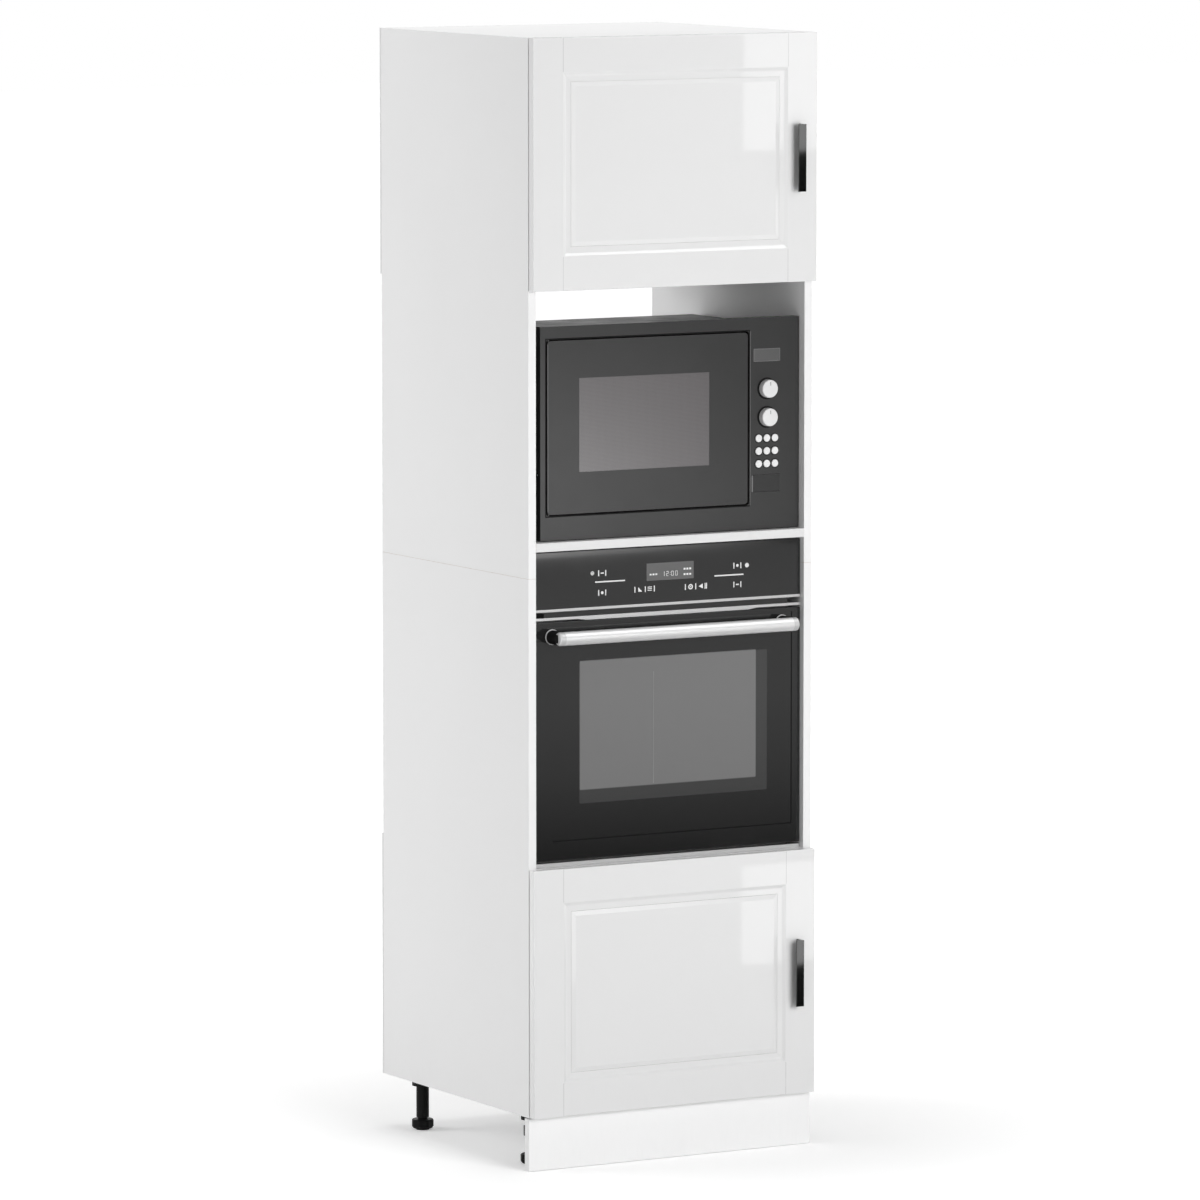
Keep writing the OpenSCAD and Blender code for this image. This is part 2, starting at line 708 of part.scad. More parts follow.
module oven_control_panel() color("#1c1c1e") carcass_frame() {
    w = oven_door_half;
    wall = 1.5;
    y0 = oven_face_y + strip_t;
    z0 = oven_panel_z - 22;
    z1 = oven_top_z - 8;
    box([-oven_half_w, oven_face_y, oven_panel_z], [oven_half_w, y0, oven_top_z]);
    // Housing of the controls and the air duct behind the panel
    difference() {
        box([-w, y0, z0], [w, oven_front_y, z1]);
        box([-w + wall, y0 + wall, z0 + wall], [w - wall, oven_front_y + 1, z1 - wall]);
    }
}

module oven_trim() color("#c4c4c6") carcass_frame() {
    w = oven_half_w;
    top = oven_panel_z - strip_drop;
    // Strip under the control panel
    box([-w, oven_face_y - 1, oven_panel_z - strip_h], [w, oven_face_y + strip_t, oven_panel_z]);
    // Strip above the door, with its lip
    translate([0, oven_face_y + strip_t, top - strip_h]) rotate([90, 0, 0]) linear_extrude(strip_t)
        polygon([
            [-w, 0], [-lip_half - 18, 0], [-lip_half, -lip_h], [lip_half, -lip_h],
            [lip_half + 18, 0], [w, 0], [w, strip_h], [-w, strip_h]]);
    // Strip under the door, and the tray that it stands on
    box([-w, oven_face_y + 1, oven_bay_z], [w, oven_face_y + 4, oven_bay_z + lower_strip_h]);
    box([-oven_case_half, oven_face_y + 4, oven_bay_z], [oven_case_half, oven_front_y, oven_bay_z + 1.5]);
}

module oven_door_seal() color("#181818") carcass_frame() {
    y0 = oven_door_back + 0.2;
    outer = oven_half + 16;
    inner = oven_half + 6;
    difference() {
        rounded_plate(-outer, outer, oven_cavity_z - 14, oven_cavity_top + 14, y0, oven_front_y, 20);
        rounded_plate(-inner, inner, oven_cavity_z - 6, oven_cavity_top + 6, y0 - 1, oven_front_y + 1, 12);
    }
}

module oven_rack_guides() color("silver") carcass_frame()
    for (s = [-1, 1]) {
        for (z = guide_levels)
            y_rod(s * guide_x, z, guide_r, oven_front_y + 40, oven_back_in - 44);
        for (y = [oven_front_y + 60, oven_back_in - 64])
            translate([s * (oven_half - guide_post_r), y, oven_cavity_z + 20])
                cylinder(h = oven_cavity_top - oven_cavity_z - 40, r = guide_post_r);
    }

module oven_rack() color("silver") carcass_frame() {
    y0 = oven_front_y + 34;
    y1 = oven_back_in - 46;
    n = 14;
    for (x = [-rack_rod_x, rack_rod_x])
        y_rod(x, rack_z, rack_r, y0, y1);
    for (y = [y0 + rack_r, y1 - rack_r])
        x_rod(y, rack_z, rack_r, -rack_rod_x, rack_rod_x);
    for (i = [1:n])
        y_rod((2 * i / (n + 1) - 1) * rack_rod_x, rack_z, 1.75, y0 + rack_r, y1 - rack_r);
}

module element_bend() rotate_extrude(angle = 180)
    translate([element_pitch / 2, 0]) circle(element_r, $fn = 24);

// Grill element: four runs joined by round bends
module oven_heating_element() color("#6a6a6a") carcass_frame() {
    z = oven_cavity_top - element_drop;
    y0 = oven_front_y + 90;
    y1 = oven_back_in - 70;
    half = element_pitch / 2;
    for (s = [-3, 3])
        y_rod(s * half, z, element_r, y0, oven_back_in + oven_wall);
    for (s = [-1, 1])
        y_rod(s * half, z, element_r, y0, y1);
    for (s = [-1, 1])
        translate([s * element_pitch, y0, z]) rotate([0, 0, 180]) element_bend();
    translate([0, y1, z]) element_bend();
    // Hangers under the cavity's roof
    for (x = [-half, half])
        box([x - 6, (y0 + y1) / 2, z + 3], [x + 6, (y0 + y1) / 2 + 1.5, oven_cavity_top]);
}

module oven_fan() color("silver") carcass_frame()
    translate([0, fan_y, fan_z]) rotate([-90, 0, 0]) {
        cylinder(h = 50, r = fan_shaft_r);
        translate([0, 0, -6]) cylinder(h = 18, r = 11);
        translate([0, 0, 10]) cylinder(h = 1.5, r = fan_r);
        for (a = [0:36:324])
            rotate([0, 0, a]) translate([fan_r * 0.45, -0.75, -6]) cube([fan_r * 0.53, 1.5, 17]);
    }

module oven_door_glass() color("#2a2a2c") carcass_frame() {
    w = oven_half - 2;
    box([-oven_half_w, oven_face_y, oven_door_z], [oven_half_w, oven_face_y + oven_glass_t, oven_door_top]);
    box([-w, oven_door_back - 4, oven_cavity_z + 2], [w, oven_door_back, oven_cavity_top - 2]);
}

module oven_door_frame() color("#2c2c2e") carcass_frame() {
    sheet = 2;
    y0 = oven_face_y + oven_glass_t;
    z0 = oven_axis_z - 6;
    z1 = oven_door_top - 4;
    w = oven_door_half;
    pane_w = oven_half - 2;
    window_w = oven_half - 29;
    difference() {
        box([-w, y0, z0], [w, oven_door_back, z1]);
        box([-w + sheet, y0 + sheet, z0 + sheet], [w - sheet, oven_door_back - sheet, z1 - sheet]);
        // Window, and the seat of the inner pane
        box([-window_w, oven_face_y, oven_cavity_z + 46], [window_w, oven_face_y + 10, oven_cavity_top - 46]);
        box([-pane_w, oven_door_back - 4, oven_cavity_z + 2],
            [pane_w, oven_door_back + 1, oven_cavity_top - 2]);
    }
    for (s = [-1, 1]) {
        // Hinge pins on closed ends
        x_rod(oven_axis_y, oven_axis_z, oven_pin_r, s > 0 ? w - sheet : -w - 10, s > 0 ? w + 10 : -w + sheet);
        // Posts between the glass and the frame's back
        for (z = [z0 + 30, oven_door_top - 40])
            box([s * (w - 14) - 4, y0, z], [s * (w - 14) + 4, oven_door_back - 1, z + 10]);
    }
}

module oven_door_handle() color("#b8b8ba") carcass_frame() {
    y = oven_face_y - oven_bar_reach;
    r = oven_bar_d / 2;
    l = 2 * oven_bar_half;
    // Bar with eased ends
    translate([-oven_bar_half, y, handle_z]) rotate([0, 90, 0]) rotate_extrude()
        polygon(concat(
            [[0, 0]], arc(r - bar_end_r, bar_end_r, bar_end_r, -90, 0, 4),
            arc(r - bar_end_r, l - bar_end_r, bar_end_r, 0, 90, 4), [[0, l]]));
    // Posts from the bar's ends to the glass, each with a thin disc at its foot
    for (s = [-1, 1])
        difference() {
            union() {
                y_rod(s * oven_post_x, handle_z, oven_post_d / 2, y, oven_face_y - disc_t / 2);
                y_rod(s * oven_post_x, handle_z, disc_r, oven_face_y - disc_t, oven_face_y);
            }
            x_rod(y, handle_z, r + joint_gap, -l, l);
        }
}

// Microwave oven

module microwave_casing() color("#2a2a2c") carcass_frame() {
    wall = mw_case_wall;
    seam = wall + joint_gap;
    // Two side sheets, the right one with air slots near the back
    for (x = [mw_case_x0, mw_case_x1 - wall])
        difference() {
            box([x, mw_body_y, mw_case_z], [x + wall, mw_back_y, mw_case_top]);
            translate([mw_case_x1 + 1, mw_back_y - 70, (mw_case_z + mw_case_top) / 2])
                rotate([0, 0, 90]) slot_row(9, 9, 3.5, 80, wall + 2);
        }
    // Top, base and back sheet between them
    for (z = [mw_case_z, mw_case_top - wall])
        box([mw_case_x0 + seam, mw_body_y, z], [mw_case_x1 - seam, mw_back_y, z + wall]);
    box([mw_case_x0 + seam, mw_back_y - wall, mw_case_z + seam],
        [mw_case_x1 - seam, mw_back_y, mw_case_top - seam]);
    // Feet
    for (x = [mw_case_x0 + 40, mw_case_x1 - 40], y = [mw_body_y + 40, mw_back_y - 40])
        translate([x, y, microwave_bay_z]) cylinder(h = mw_foot_h - joint_gap, r = mw_foot_r);
}

module microwave_cavity() color("gainsboro") carcass_frame() {
    difference() {
        box([mw_cavity_x0 - mw_wall, mw_body_y + joint_gap, mw_cavity_z0 - mw_wall],
            [mw_cavity_x1 + mw_wall, mw_cavity_back + mw_wall, mw_cavity_z1 + mw_wall]);
        box([mw_cavity_x0, mw_body_y - 1, mw_cavity_z0], [mw_cavity_x1, mw_cavity_back, mw_cavity_z1]);
        translate([turntable_x, turntable_y, mw_cavity_z0 - 12]) cylinder(h = 20, r = spindle_r + pin_fit);
    }
    // Motor of the turntable, under the cavity's floor
    motor_z = mw_case_z + mw_case_wall;
    motor_h = mw_cavity_z0 - mw_wall - joint_gap - motor_z;
    translate([turntable_x, turntable_y, motor_z])
        difference() {
            cylinder(h = motor_h, r = 24);
            translate([0, 0, motor_h - 12]) cylinder(h = 20, r = spindle_r + pin_fit);
        }
}

module microwave_front_frame() color("#3c3c3e") carcass_frame() {
    x = mw_controls_x;
    difference() {
        box([mw_left, mw_face_y, mw_z], [mw_right, mw_body_y, mw_top]);
        // Pocket of the door
        rounded_plate(mw_door_left - mw_gap, mw_panel_x, mw_door_z - mw_gap, mw_door_top + mw_gap,
            mw_face_y - 1, mw_body_y - 2, mw_corner - 2);
        // Way into the cavity
        box([mw_cavity_x0, mw_face_y, mw_cavity_z0], [mw_cavity_x1, mw_body_y + 1, mw_cavity_z1]);
        // Room behind the controls
        box([mw_panel_x + 5, mw_face_y + mw_skin, mw_case_z + mw_case_wall],
            [mw_case_x1 - mw_case_wall, mw_body_y + 1, mw_case_top - mw_case_wall]);
        // Holes of knobs, keys, button and door hooks
        for (z = knob_zs)
            y_rod(x, z, knob_shaft_r + pin_fit, mw_face_y - 1, mw_body_y);
        for (dx = key_xs, z = key_zs)
            y_rod(x + dx, z, key_d / 2 + slide_fit, mw_face_y - 1, mw_body_y);
        box([x - button_w / 2 - slide_fit, mw_face_y - 1, button_z - button_h / 2 - slide_fit],
            [x + button_w / 2 + slide_fit, mw_body_y, button_z + button_h / 2 + slide_fit]);
        box([x - display_half_w, mw_face_y - 1, display_z],
            [x + display_half_w, mw_face_y + 1.5, display_z + display_h]);
        for (z = hook_zs)
            box([hook_x - 4, mw_body_y - 3, z - hook_h / 2 - 3],
                [hook_x + 5, mw_body_y + 1, z + hook_h / 2 + 3]);
    }
    // Door pins at the top and bottom of the pocket
    translate([mw_axis_x, mw_axis_y, mw_door_z - mw_gap - 2]) cylinder(h = 10, r = mw_pin_r);
    translate([mw_axis_x, mw_axis_y, mw_door_top + mw_gap - 8]) cylinder(h = 10, r = mw_pin_r);
    // Display window
    box([x - display_half_w, mw_face_y + joint_gap, display_z],
        [x + display_half_w, mw_face_y + 1.5, display_z + display_h]);
}

module microwave_door_frame() color("#3c3c3e") carcass_frame() {
    x0 = mw_door_left;
    x1 = mw_door_right;
    back = mw_face_y + mw_door_t;
    difference() {
        rounded_plate(x0, x1, mw_door_z, mw_door_top, mw_face_y, back - 3, mw_corner);
        rounded_plate(x0 + 8.5, x1 - 2.5, mw_door_z + 12, mw_door_top - 12, mw_face_y + mw_skin, back, 7);
        box([mw_window_x0, mw_face_y - 1, mw_window_z0], [mw_window_x1, mw_face_y + 4, mw_window_z1]);
        for (z = [mw_door_z - 1, mw_door_top - 9])
            translate([mw_axis_x, mw_axis_y, z]) cylinder(h = 10, r = mw_pin_r + pin_fit);
    }
    // Inner cover with the hooks of the latch
    difference() {
        rounded_plate(x0 + 4, x1, mw_door_z, mw_door_top, back - 3 + joint_gap, back, mw_corner);
        box([mw_window_x0, back - 4, mw_window_z0], [mw_window_x1, back + 1, mw_window_z1]);
    }
    for (z = hook_zs)
        box([hook_x - hook_t / 2, back, z - hook_h / 2], [hook_x + hook_t / 2, back + 10, z + hook_h / 2]);
}

module microwave_door_window() color("#6a6a6c") carcass_frame() {
    // Outer pane, and the inner pane over the perforated screen
    box([mw_window_x0, mw_face_y + 0.5, mw_window_z0], [mw_window_x1, mw_face_y + mw_skin, mw_window_z1]);
    box([mw_window_x0, mw_face_y + mw_door_t - 2, mw_window_z0],
        [mw_window_x1, mw_face_y + mw_door_t - 1, mw_window_z1]);
}

module microwave_release_button() color("#2a2a2c") carcass_frame()
    rounded_plate(mw_controls_x - button_w / 2, mw_controls_x + button_w / 2,
        button_z - button_h / 2, button_z + button_h / 2, mw_face_y - 1, mw_face_y + 9, 2);

module control_knob(z) color("whitesmoke") carcass_frame() {
    y = mw_face_y - 0.5;
    difference() {
        translate([mw_controls_x, y, z]) rotate([90, 0, 0]) rotate_extrude()
            polygon(concat(
                [[0, 0], [knob_d / 2, 0]],
                arc(knob_d / 2 - 2.5, knob_h - 2.5, 2.5, 0, 90, 5), [[0, knob_h]]));
        // Pointer line
        box([mw_controls_x - 0.7, y - knob_h - 1, z + knob_d * 0.2],
            [mw_controls_x + 0.7, y - knob_h + 0.6, z + knob_d * 0.4]);
    }
    y_rod(mw_controls_x, z, knob_shaft_r, mw_face_y - 1, mw_face_y + 16);
}

module microwave_power_knob() control_knob(knob_zs[0]);

module microwave_timer_knob() control_knob(knob_zs[1]);

module push_key(n) color("whitesmoke") carcass_frame()
    translate([mw_controls_x + key_xs[n % 3], mw_face_y + 6, key_zs[floor(n / 3)]])
        rotate([90, 0, 0]) rotate_extrude()
            polygon(concat(
                [[0, 0], [key_d / 2, 0]], arc(key_d / 2 - 1.2, key_h - 1.2, 1.2, 0, 90, 4), [[0, key_h]]));

module microwave_key_1() push_key(0);

module microwave_key_2() push_key(1);

module microwave_key_3() push_key(2);

module microwave_key_4() push_key(3);

module microwave_key_5() push_key(4);

module microwave_key_6() push_key(5);

module microwave_key_7() push_key(6);

module microwave_key_8() push_key(7);

module microwave_key_9() push_key(8);

module turntable_plate() color("lightcyan") carcass_frame() {
    r = turntable_r;
    translate([turntable_x, turntable_y, plate_z]) rotate_extrude($fn = 96)
        polygon([[0, 0], [r * 0.86, 0], [r, 9], [r, 11], [r * 0.84, 4], [0, 4]]);
    // Drive piece between the plate and the motor
    translate([turntable_x, turntable_y, mw_cavity_z0 - 10])
        cylinder(h = plate_z - mw_cavity_z0 + 10, r = spindle_r);
    translate([turntable_x, turntable_y, plate_z - 8]) cylinder(h = 8, r = 14);
}

module turntable_roller_ring() color("white") carcass_frame()
    translate([turntable_x, turntable_y, mw_cavity_z0 + 0.4]) {
        translate([0, 0, roller_r - 3]) difference() {
            cylinder(h = 6, r = ring_r - 6);
            translate([0, 0, -1]) cylinder(h = 8, r = ring_r - 11);
        }
        for (a = [0, 120, 240])
            rotate([0, 0, a]) {
                translate([ring_r - 7, 0, roller_r]) rotate([0, 90, 0]) cylinder(h = 10, r = 2);
                translate([ring_r - 1, 0, roller_r]) rotate([0, 90, 0]) cylinder(h = 8, r = roller_r);
            }
    }

left_side_lower();
left_side_upper();
right_side_lower();
right_side_upper();
top_panel();
upper_cupboard_floor();
middle_shelf();
oven_shelf();
bottom_panel();
back_panels();
plinth_board();
plinth_clips();
leg_sockets();
panel_dowels();
hinge_arms();
upper_door_frame();
upper_door_panel();
upper_door_handle();
upper_hinge_cups();
upper_hinge_links();
lower_door_frame();
lower_door_panel();
lower_door_handle();
lower_hinge_cups();
lower_hinge_links();
front_left_foot();
front_right_foot();
rear_left_foot();
rear_right_foot();
oven_casing();
oven_cavity();
oven_control_panel();
oven_trim();
oven_door_seal();
oven_rack_guides();
oven_rack();
oven_heating_element();
oven_fan();
oven_door_glass();
oven_door_frame();
oven_door_handle();
microwave_casing();
microwave_cavity();
microwave_front_frame();
microwave_door_frame();
microwave_door_window();
microwave_release_button();
microwave_power_knob();
microwave_timer_knob();
microwave_key_1();
microwave_key_2();
microwave_key_3();
microwave_key_4();
microwave_key_5();
microwave_key_6();
microwave_key_7();
microwave_key_8();
microwave_key_9();
turntable_plate();
turntable_roller_ring();
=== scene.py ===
import json
import math

import bmesh
import bpy
from mathutils import Matrix, Vector


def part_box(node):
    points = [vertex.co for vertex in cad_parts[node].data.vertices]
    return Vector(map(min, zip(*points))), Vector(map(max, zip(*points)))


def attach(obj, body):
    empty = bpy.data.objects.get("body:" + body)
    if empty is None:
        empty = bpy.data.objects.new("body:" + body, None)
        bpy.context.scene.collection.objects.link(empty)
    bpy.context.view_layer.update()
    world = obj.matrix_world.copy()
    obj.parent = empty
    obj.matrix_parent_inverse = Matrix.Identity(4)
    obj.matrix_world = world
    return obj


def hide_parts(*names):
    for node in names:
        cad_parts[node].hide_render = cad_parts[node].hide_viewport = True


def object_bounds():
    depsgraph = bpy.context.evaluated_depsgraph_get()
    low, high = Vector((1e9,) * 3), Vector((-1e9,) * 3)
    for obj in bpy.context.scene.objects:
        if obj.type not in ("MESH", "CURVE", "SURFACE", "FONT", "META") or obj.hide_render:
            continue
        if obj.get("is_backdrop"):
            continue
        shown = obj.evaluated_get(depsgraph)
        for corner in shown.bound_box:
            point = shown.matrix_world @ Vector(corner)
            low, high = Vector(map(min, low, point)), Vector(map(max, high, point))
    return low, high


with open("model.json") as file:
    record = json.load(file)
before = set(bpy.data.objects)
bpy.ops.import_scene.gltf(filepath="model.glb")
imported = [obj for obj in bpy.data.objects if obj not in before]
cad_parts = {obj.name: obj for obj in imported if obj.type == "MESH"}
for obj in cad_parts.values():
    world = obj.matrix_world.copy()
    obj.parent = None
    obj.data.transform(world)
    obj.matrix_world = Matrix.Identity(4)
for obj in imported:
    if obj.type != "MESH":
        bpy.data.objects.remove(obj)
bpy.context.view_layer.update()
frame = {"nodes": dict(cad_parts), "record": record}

MM = 0.001
FRONT, BACK, LEFT, RIGHT = (0, -1, 0), (0, 1, 0), (-1, 0, 0), (1, 0, 0)
UP, DOWN = (0, 0, 1), (0, 0, -1)
WHITE = (1, 1, 1, 1)
EYE = Vector((-7.178, -12.544, 2.604))
CAMERA_PITCH, CAMERA_TURN = 6.29, 29.78
DOOR_FRONT_Y = -0.281
CARCASS_FRONT_Y = -0.26325


def link(obj):
    bpy.context.scene.collection.objects.link(obj)
    return obj


# Nodes that every material and stage finish uses

def feed(nt, value, socket):
    """Sets a socket to a plain value, or links another socket to it."""
    if isinstance(value, bpy.types.NodeSocket):
        nt.links.new(value, socket)
    else:
        socket.default_value = value


def math_node(nt, operation, a, b=None, clamp=False):
    node = nt.nodes.new("ShaderNodeMath")
    node.operation, node.use_clamp = operation, clamp
    feed(nt, a, node.inputs[0])
    if b is not None:
        feed(nt, b, node.inputs[1])
    return node.outputs[0]


def spread_node(nt, value, low, high, start=0.3, stop=0.7):
    """value spread from low to high; noise mostly lies between 0.3 and 0.7."""
    node = nt.nodes.new("ShaderNodeMapRange")
    for socket, limit in (("Value", value), ("From Min", start), ("From Max", stop),
                          ("To Min", low), ("To Max", high)):
        feed(nt, limit, node.inputs[socket])
    return node.outputs["Result"]


def split_point(nt):
    """X, Y and Z of the point in the object's own coordinates."""
    split = nt.nodes.new("ShaderNodeSeparateXYZ")
    nt.links.new(nt.nodes.new("ShaderNodeTexCoord").outputs["Object"], split.inputs[0])
    return split.outputs


def empty_material(name):
    mat = bpy.data.materials.new(name)
    mat.use_nodes = True
    mat.node_tree.nodes.clear()
    return mat, mat.node_tree


# Camera, light and floor

def photo_camera():
    """The photograph's viewpoint: far off, to the left of the front and a little above the cabinet."""
    cam = link(bpy.data.objects.new("photo_camera", bpy.data.cameras.new("photo_camera")))
    cam.location = EYE
    cam.rotation_euler = (math.radians(90 - CAMERA_PITCH), 0, math.radians(-CAMERA_TURN))
    cam.data.sensor_width = 36
    cam.data.lens = 234.3
    cam.data.clip_end = 200
    bpy.context.scene.camera = cam


def soft_lamp(name, place, target, size, watts):
    """A square softbox that points at target and isn't seen itself."""
    data = bpy.data.lights.new(name, "AREA")
    data.shape, data.size, data.energy = "SQUARE", size, watts
    lamp = link(bpy.data.objects.new(name, data))
    lamp.location = place
    lamp.rotation_euler = (Vector(target) - Vector(place)).to_track_quat("-Z", "Y").to_euler()
    lamp.visible_camera = lamp.visible_glossy = lamp.visible_transmission = False


def sees_background(nt):
    """1 for the camera and for what metal and glass show, 0 for light on the object."""
    rays = nt.nodes.new("ShaderNodeLightPath").outputs
    shown = math_node(nt, "MAXIMUM", rays["Is Camera Ray"], rays["Is Glossy Ray"])
    return math_node(nt, "MAXIMUM", shown, rays["Is Transmission Ray"])


def studio_world(light):
    """A world that lights the object by that strength and looks white itself."""
    world = bpy.data.worlds.new("white_studio")
    bpy.context.scene.world = world
    world.use_nodes = True
    nt = world.node_tree
    nt.nodes.clear()
    mix = nt.nodes.new("ShaderNodeMixShader")
    nt.links.new(sees_background(nt), mix.inputs["Fac"])
    for i, strength in ((1, light), (2, 1.0)):
        glow = nt.nodes.new("ShaderNodeBackground")
        glow.inputs["Color"].default_value = WHITE
        glow.inputs["Strength"].default_value = strength
        nt.links.new(glow.outputs[0], mix.inputs[i])
    out = nt.nodes.new("ShaderNodeOutputWorld")
    nt.links.new(mix.outputs[0], out.inputs["Surface"])


def stage_quad(name, corners, material):
    mesh = bpy.data.meshes.new(name)
    mesh.from_pydata([tuple(c) for c in corners], [], [(0, 1, 2, 3)])
    mesh.materials.append(material)
    quad = link(bpy.data.objects.new(name, mesh))
    quad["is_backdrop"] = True
    return quad


def floor_finish(tone, near, far):
    """Pale floor; its own glow grows with the distance, so the shadow stays and the far floor is white."""
    mat, nt = empty_material("pale_floor")
    pale = nt.nodes.new("ShaderNodeBsdfDiffuse")
    pale.inputs["Color"].default_value = (tone, tone, tone, 1)
    reach = nt.nodes.new("ShaderNodeVectorMath")
    reach.operation = "LENGTH"
    nt.links.new(nt.nodes.new("ShaderNodeTexCoord").outputs["Object"], reach.inputs[0])
    (near_reach, near_glow), (far_reach, far_glow) = near, far
    spread = spread_node(nt, reach.outputs["Value"], near_glow, far_glow, near_reach, far_reach)
    glow = nt.nodes.new("ShaderNodeEmission")
    glow.inputs["Color"].default_value = WHITE
    nt.links.new(math_node(nt, "MULTIPLY", sees_background(nt), spread), glow.inputs["Strength"])
    both = nt.nodes.new("ShaderNodeAddShader")
    nt.links.new(pale.outputs[0], both.inputs[0])
    nt.links.new(glow.outputs[0], both.inputs[1])
    out = nt.nodes.new("ShaderNodeOutputMaterial")
    nt.links.new(both.outputs[0], out.inputs["Surface"])
    return mat


def glow_finish(name, strength, color=None):
    """A glowing card's finish; strength is a number, or a function that adds its nodes, as color is."""
    mat, nt = empty_material(name)
    glow = nt.nodes.new("ShaderNodeEmission")
    feed(nt, color(nt) if color else WHITE, glow.inputs["Color"])
    feed(nt, strength(nt) if callable(strength) else strength, glow.inputs["Strength"])
    out = nt.nodes.new("ShaderNodeOutputMaterial")
    nt.links.new(glow.outputs[0], out.inputs["Surface"])
    return mat


def mirrored_point(x, z, distance):
    """Where the camera's ray, mirrored at (x, z) in the plane of the door fronts, is after that distance."""
    hit = Vector((x, DOOR_FRONT_Y, z))
    way = (hit - EYE).normalized()
    way.y = -way.y
    return hit + way * distance


def graded_glow(name, stops, left, right, distance):
    """Glow of a card that changes with the height, and from left to right, at which the front mirrors it."""
    heights = [mirrored_point(0, z, distance).z for z, _ in stops]
    low, high = heights[0], heights[-1]

    def by_height(nt):
        ramp = nt.nodes.new("ShaderNodeValToRGB")
        while len(ramp.color_ramp.elements) < len(stops):
            ramp.color_ramp.elements.new(0.5)
        for element, height, (_, strength) in zip(ramp.color_ramp.elements, heights, stops):
            element.position = (height - low) / (high - low)
            element.color = (strength, strength, strength, 1)
        nt.links.new(spread_node(nt, split_point(nt)["Z"], 0.0, 1.0, low, high), ramp.inputs["Fac"])
        return ramp.outputs["Color"]

    def by_side(nt):
        edges = [mirrored_point(x, 1.2, distance).x for x in (-0.28, 0.28)]
        return spread_node(nt, split_point(nt)["X"], left, right, *edges)

    return glow_finish(name, by_side, by_height)


def glossy_only(card):
    card.visible_camera = card.visible_diffuse = card.visible_shadow = card.visible_transmission = False


def studio_card(name, x0, x1, z0, z1, distance, finish):
    """A card that the front mirrors between those limits, seen only in glossy surfaces."""
    corners = [mirrored_point(x, z, distance) for x, z in ((x0, z0), (x1, z0), (x1, z1), (x0, z1))]
    glossy_only(stage_quad(name, corners, finish))


def lying_card(name, height, corners, strength):
    """A card at that height over the floor, seen only in glossy surfaces."""
    glossy_only(stage_quad(name, [(x, y, height) for x, y in corners], glow_finish(name, strength)))


bpy.context.scene.view_settings.view_transform = "Standard"
photo_camera()
studio_world(0.31)
soft_lamp("front_softbox", (0.7, -5.4, 1.8), (0, 0, 1.0), 2.6, 172)
soft_lamp("left_softbox", (-4.2, 2.4, 2.0), (0, 0.2, 1.0), 2.5, 94)
soft_lamp("top_softbox", (0.2, 0.4, 4.6), (0, 0.1, 2.0), 2.0, 44)
stage_quad("floor", [(-40, -40, 0), (40, -40, 0), (40, 40, 0), (-40, 40, 0)],
           floor_finish(0.88, near=(0.5, 0.34), far=(2.2, 0.8)))

# What the fronts mirror: (height on the front, strength) of the wall behind the camera, in two parts
WALL_DISTANCE, WINDOW_DISTANCE, WINDOW_GLOW = 1.6, 1.5, 2.1
LOW_WALL = [(-0.3, 0.02), (0.56, 0.02), (0.72, 0.4), (0.85, 0.58), (1.0, 0.58), (1.15, 0.5)]
HIGH_WALL = [(1.15, 1.3), (1.22, 1.2), (1.38, 0.65), (1.55, 0.22), (1.64, 0.02), (2.6, 0.02)]
for wall, z0, z1, stops, left, right in (("low_wall", -0.3, 1.13, LOW_WALL, 1.0, 1.0),
                                         ("high_wall", 1.13, 2.6, HIGH_WALL, 2.7, 0.15)):
    studio_card(wall, -0.8, 0.8, z0, z1, WALL_DISTANCE, graded_glow(wall, stops, left, right, WALL_DISTANCE))
studio_card("upper_window", 0.142, 0.5, 1.855, 2.6, WINDOW_DISTANCE, glow_finish("upper_window", WINDOW_GLOW))
lying_card("floor_card", 0.002, ((-1.2, -2.4), (2.4, -2.4), (2.4, -0.29), (-1.2, -0.29)), 0.02)
lying_card("overhead_card", 3.2, ((0.5, -1.9), (0.5, -0.9), (1.6, -0.9), (1.6, -1.9)), 4.5)
studio_card("lower_window", 0.142, 0.5, 0.35, 0.535, WINDOW_DISTANCE, glow_finish("lower_window", WINDOW_GLOW))


# What the finishes share

def group(name, outputs, colors=(), **floats):
    """A shader group; each input is named by its keyword, and floats come after colours."""
    nt = bpy.data.node_groups.new(name, "ShaderNodeTree")
    kinds = [("NodeSocketColor", label, value) for label, value in colors]
    kinds += [("NodeSocketFloat", label.replace("_", " "), value) for label, value in floats.items()]
    for kind, label, value in kinds:
        nt.interface.new_socket(label, in_out="INPUT", socket_type=kind).default_value = value
    for label in outputs:
        kind = "NodeSocketColor" if label == "Color" else "NodeSocketFloat"
        nt.interface.new_socket(label, in_out="OUTPUT", socket_type=kind)
    return nt, nt.nodes.new("NodeGroupInput").outputs, nt.nodes.new("NodeGroupOutput").inputs


def noise_node(nt, vector, scale, detail=2.0, roughness=0.5):
    node = nt.nodes.new("ShaderNodeTexNoise")
    for socket, value in (("Vector", vector), ("Scale", scale), ("Detail", detail), ("Roughness", roughness)):
        feed(nt, value, node.inputs[socket])
    return node.outputs["Fac"]


def object_point(nt, stretch=(1, 1, 1)):
    coords = nt.nodes.new("ShaderNodeTexCoord")
    if stretch == (1, 1, 1):
        return coords.outputs["Object"]
    mapping = nt.nodes.new("ShaderNodeMapping")
    mapping.inputs["Scale"].default_value = stretch
    nt.links.new(coords.outputs["Object"], mapping.inputs["Vector"])
    return mapping.outputs["Vector"]


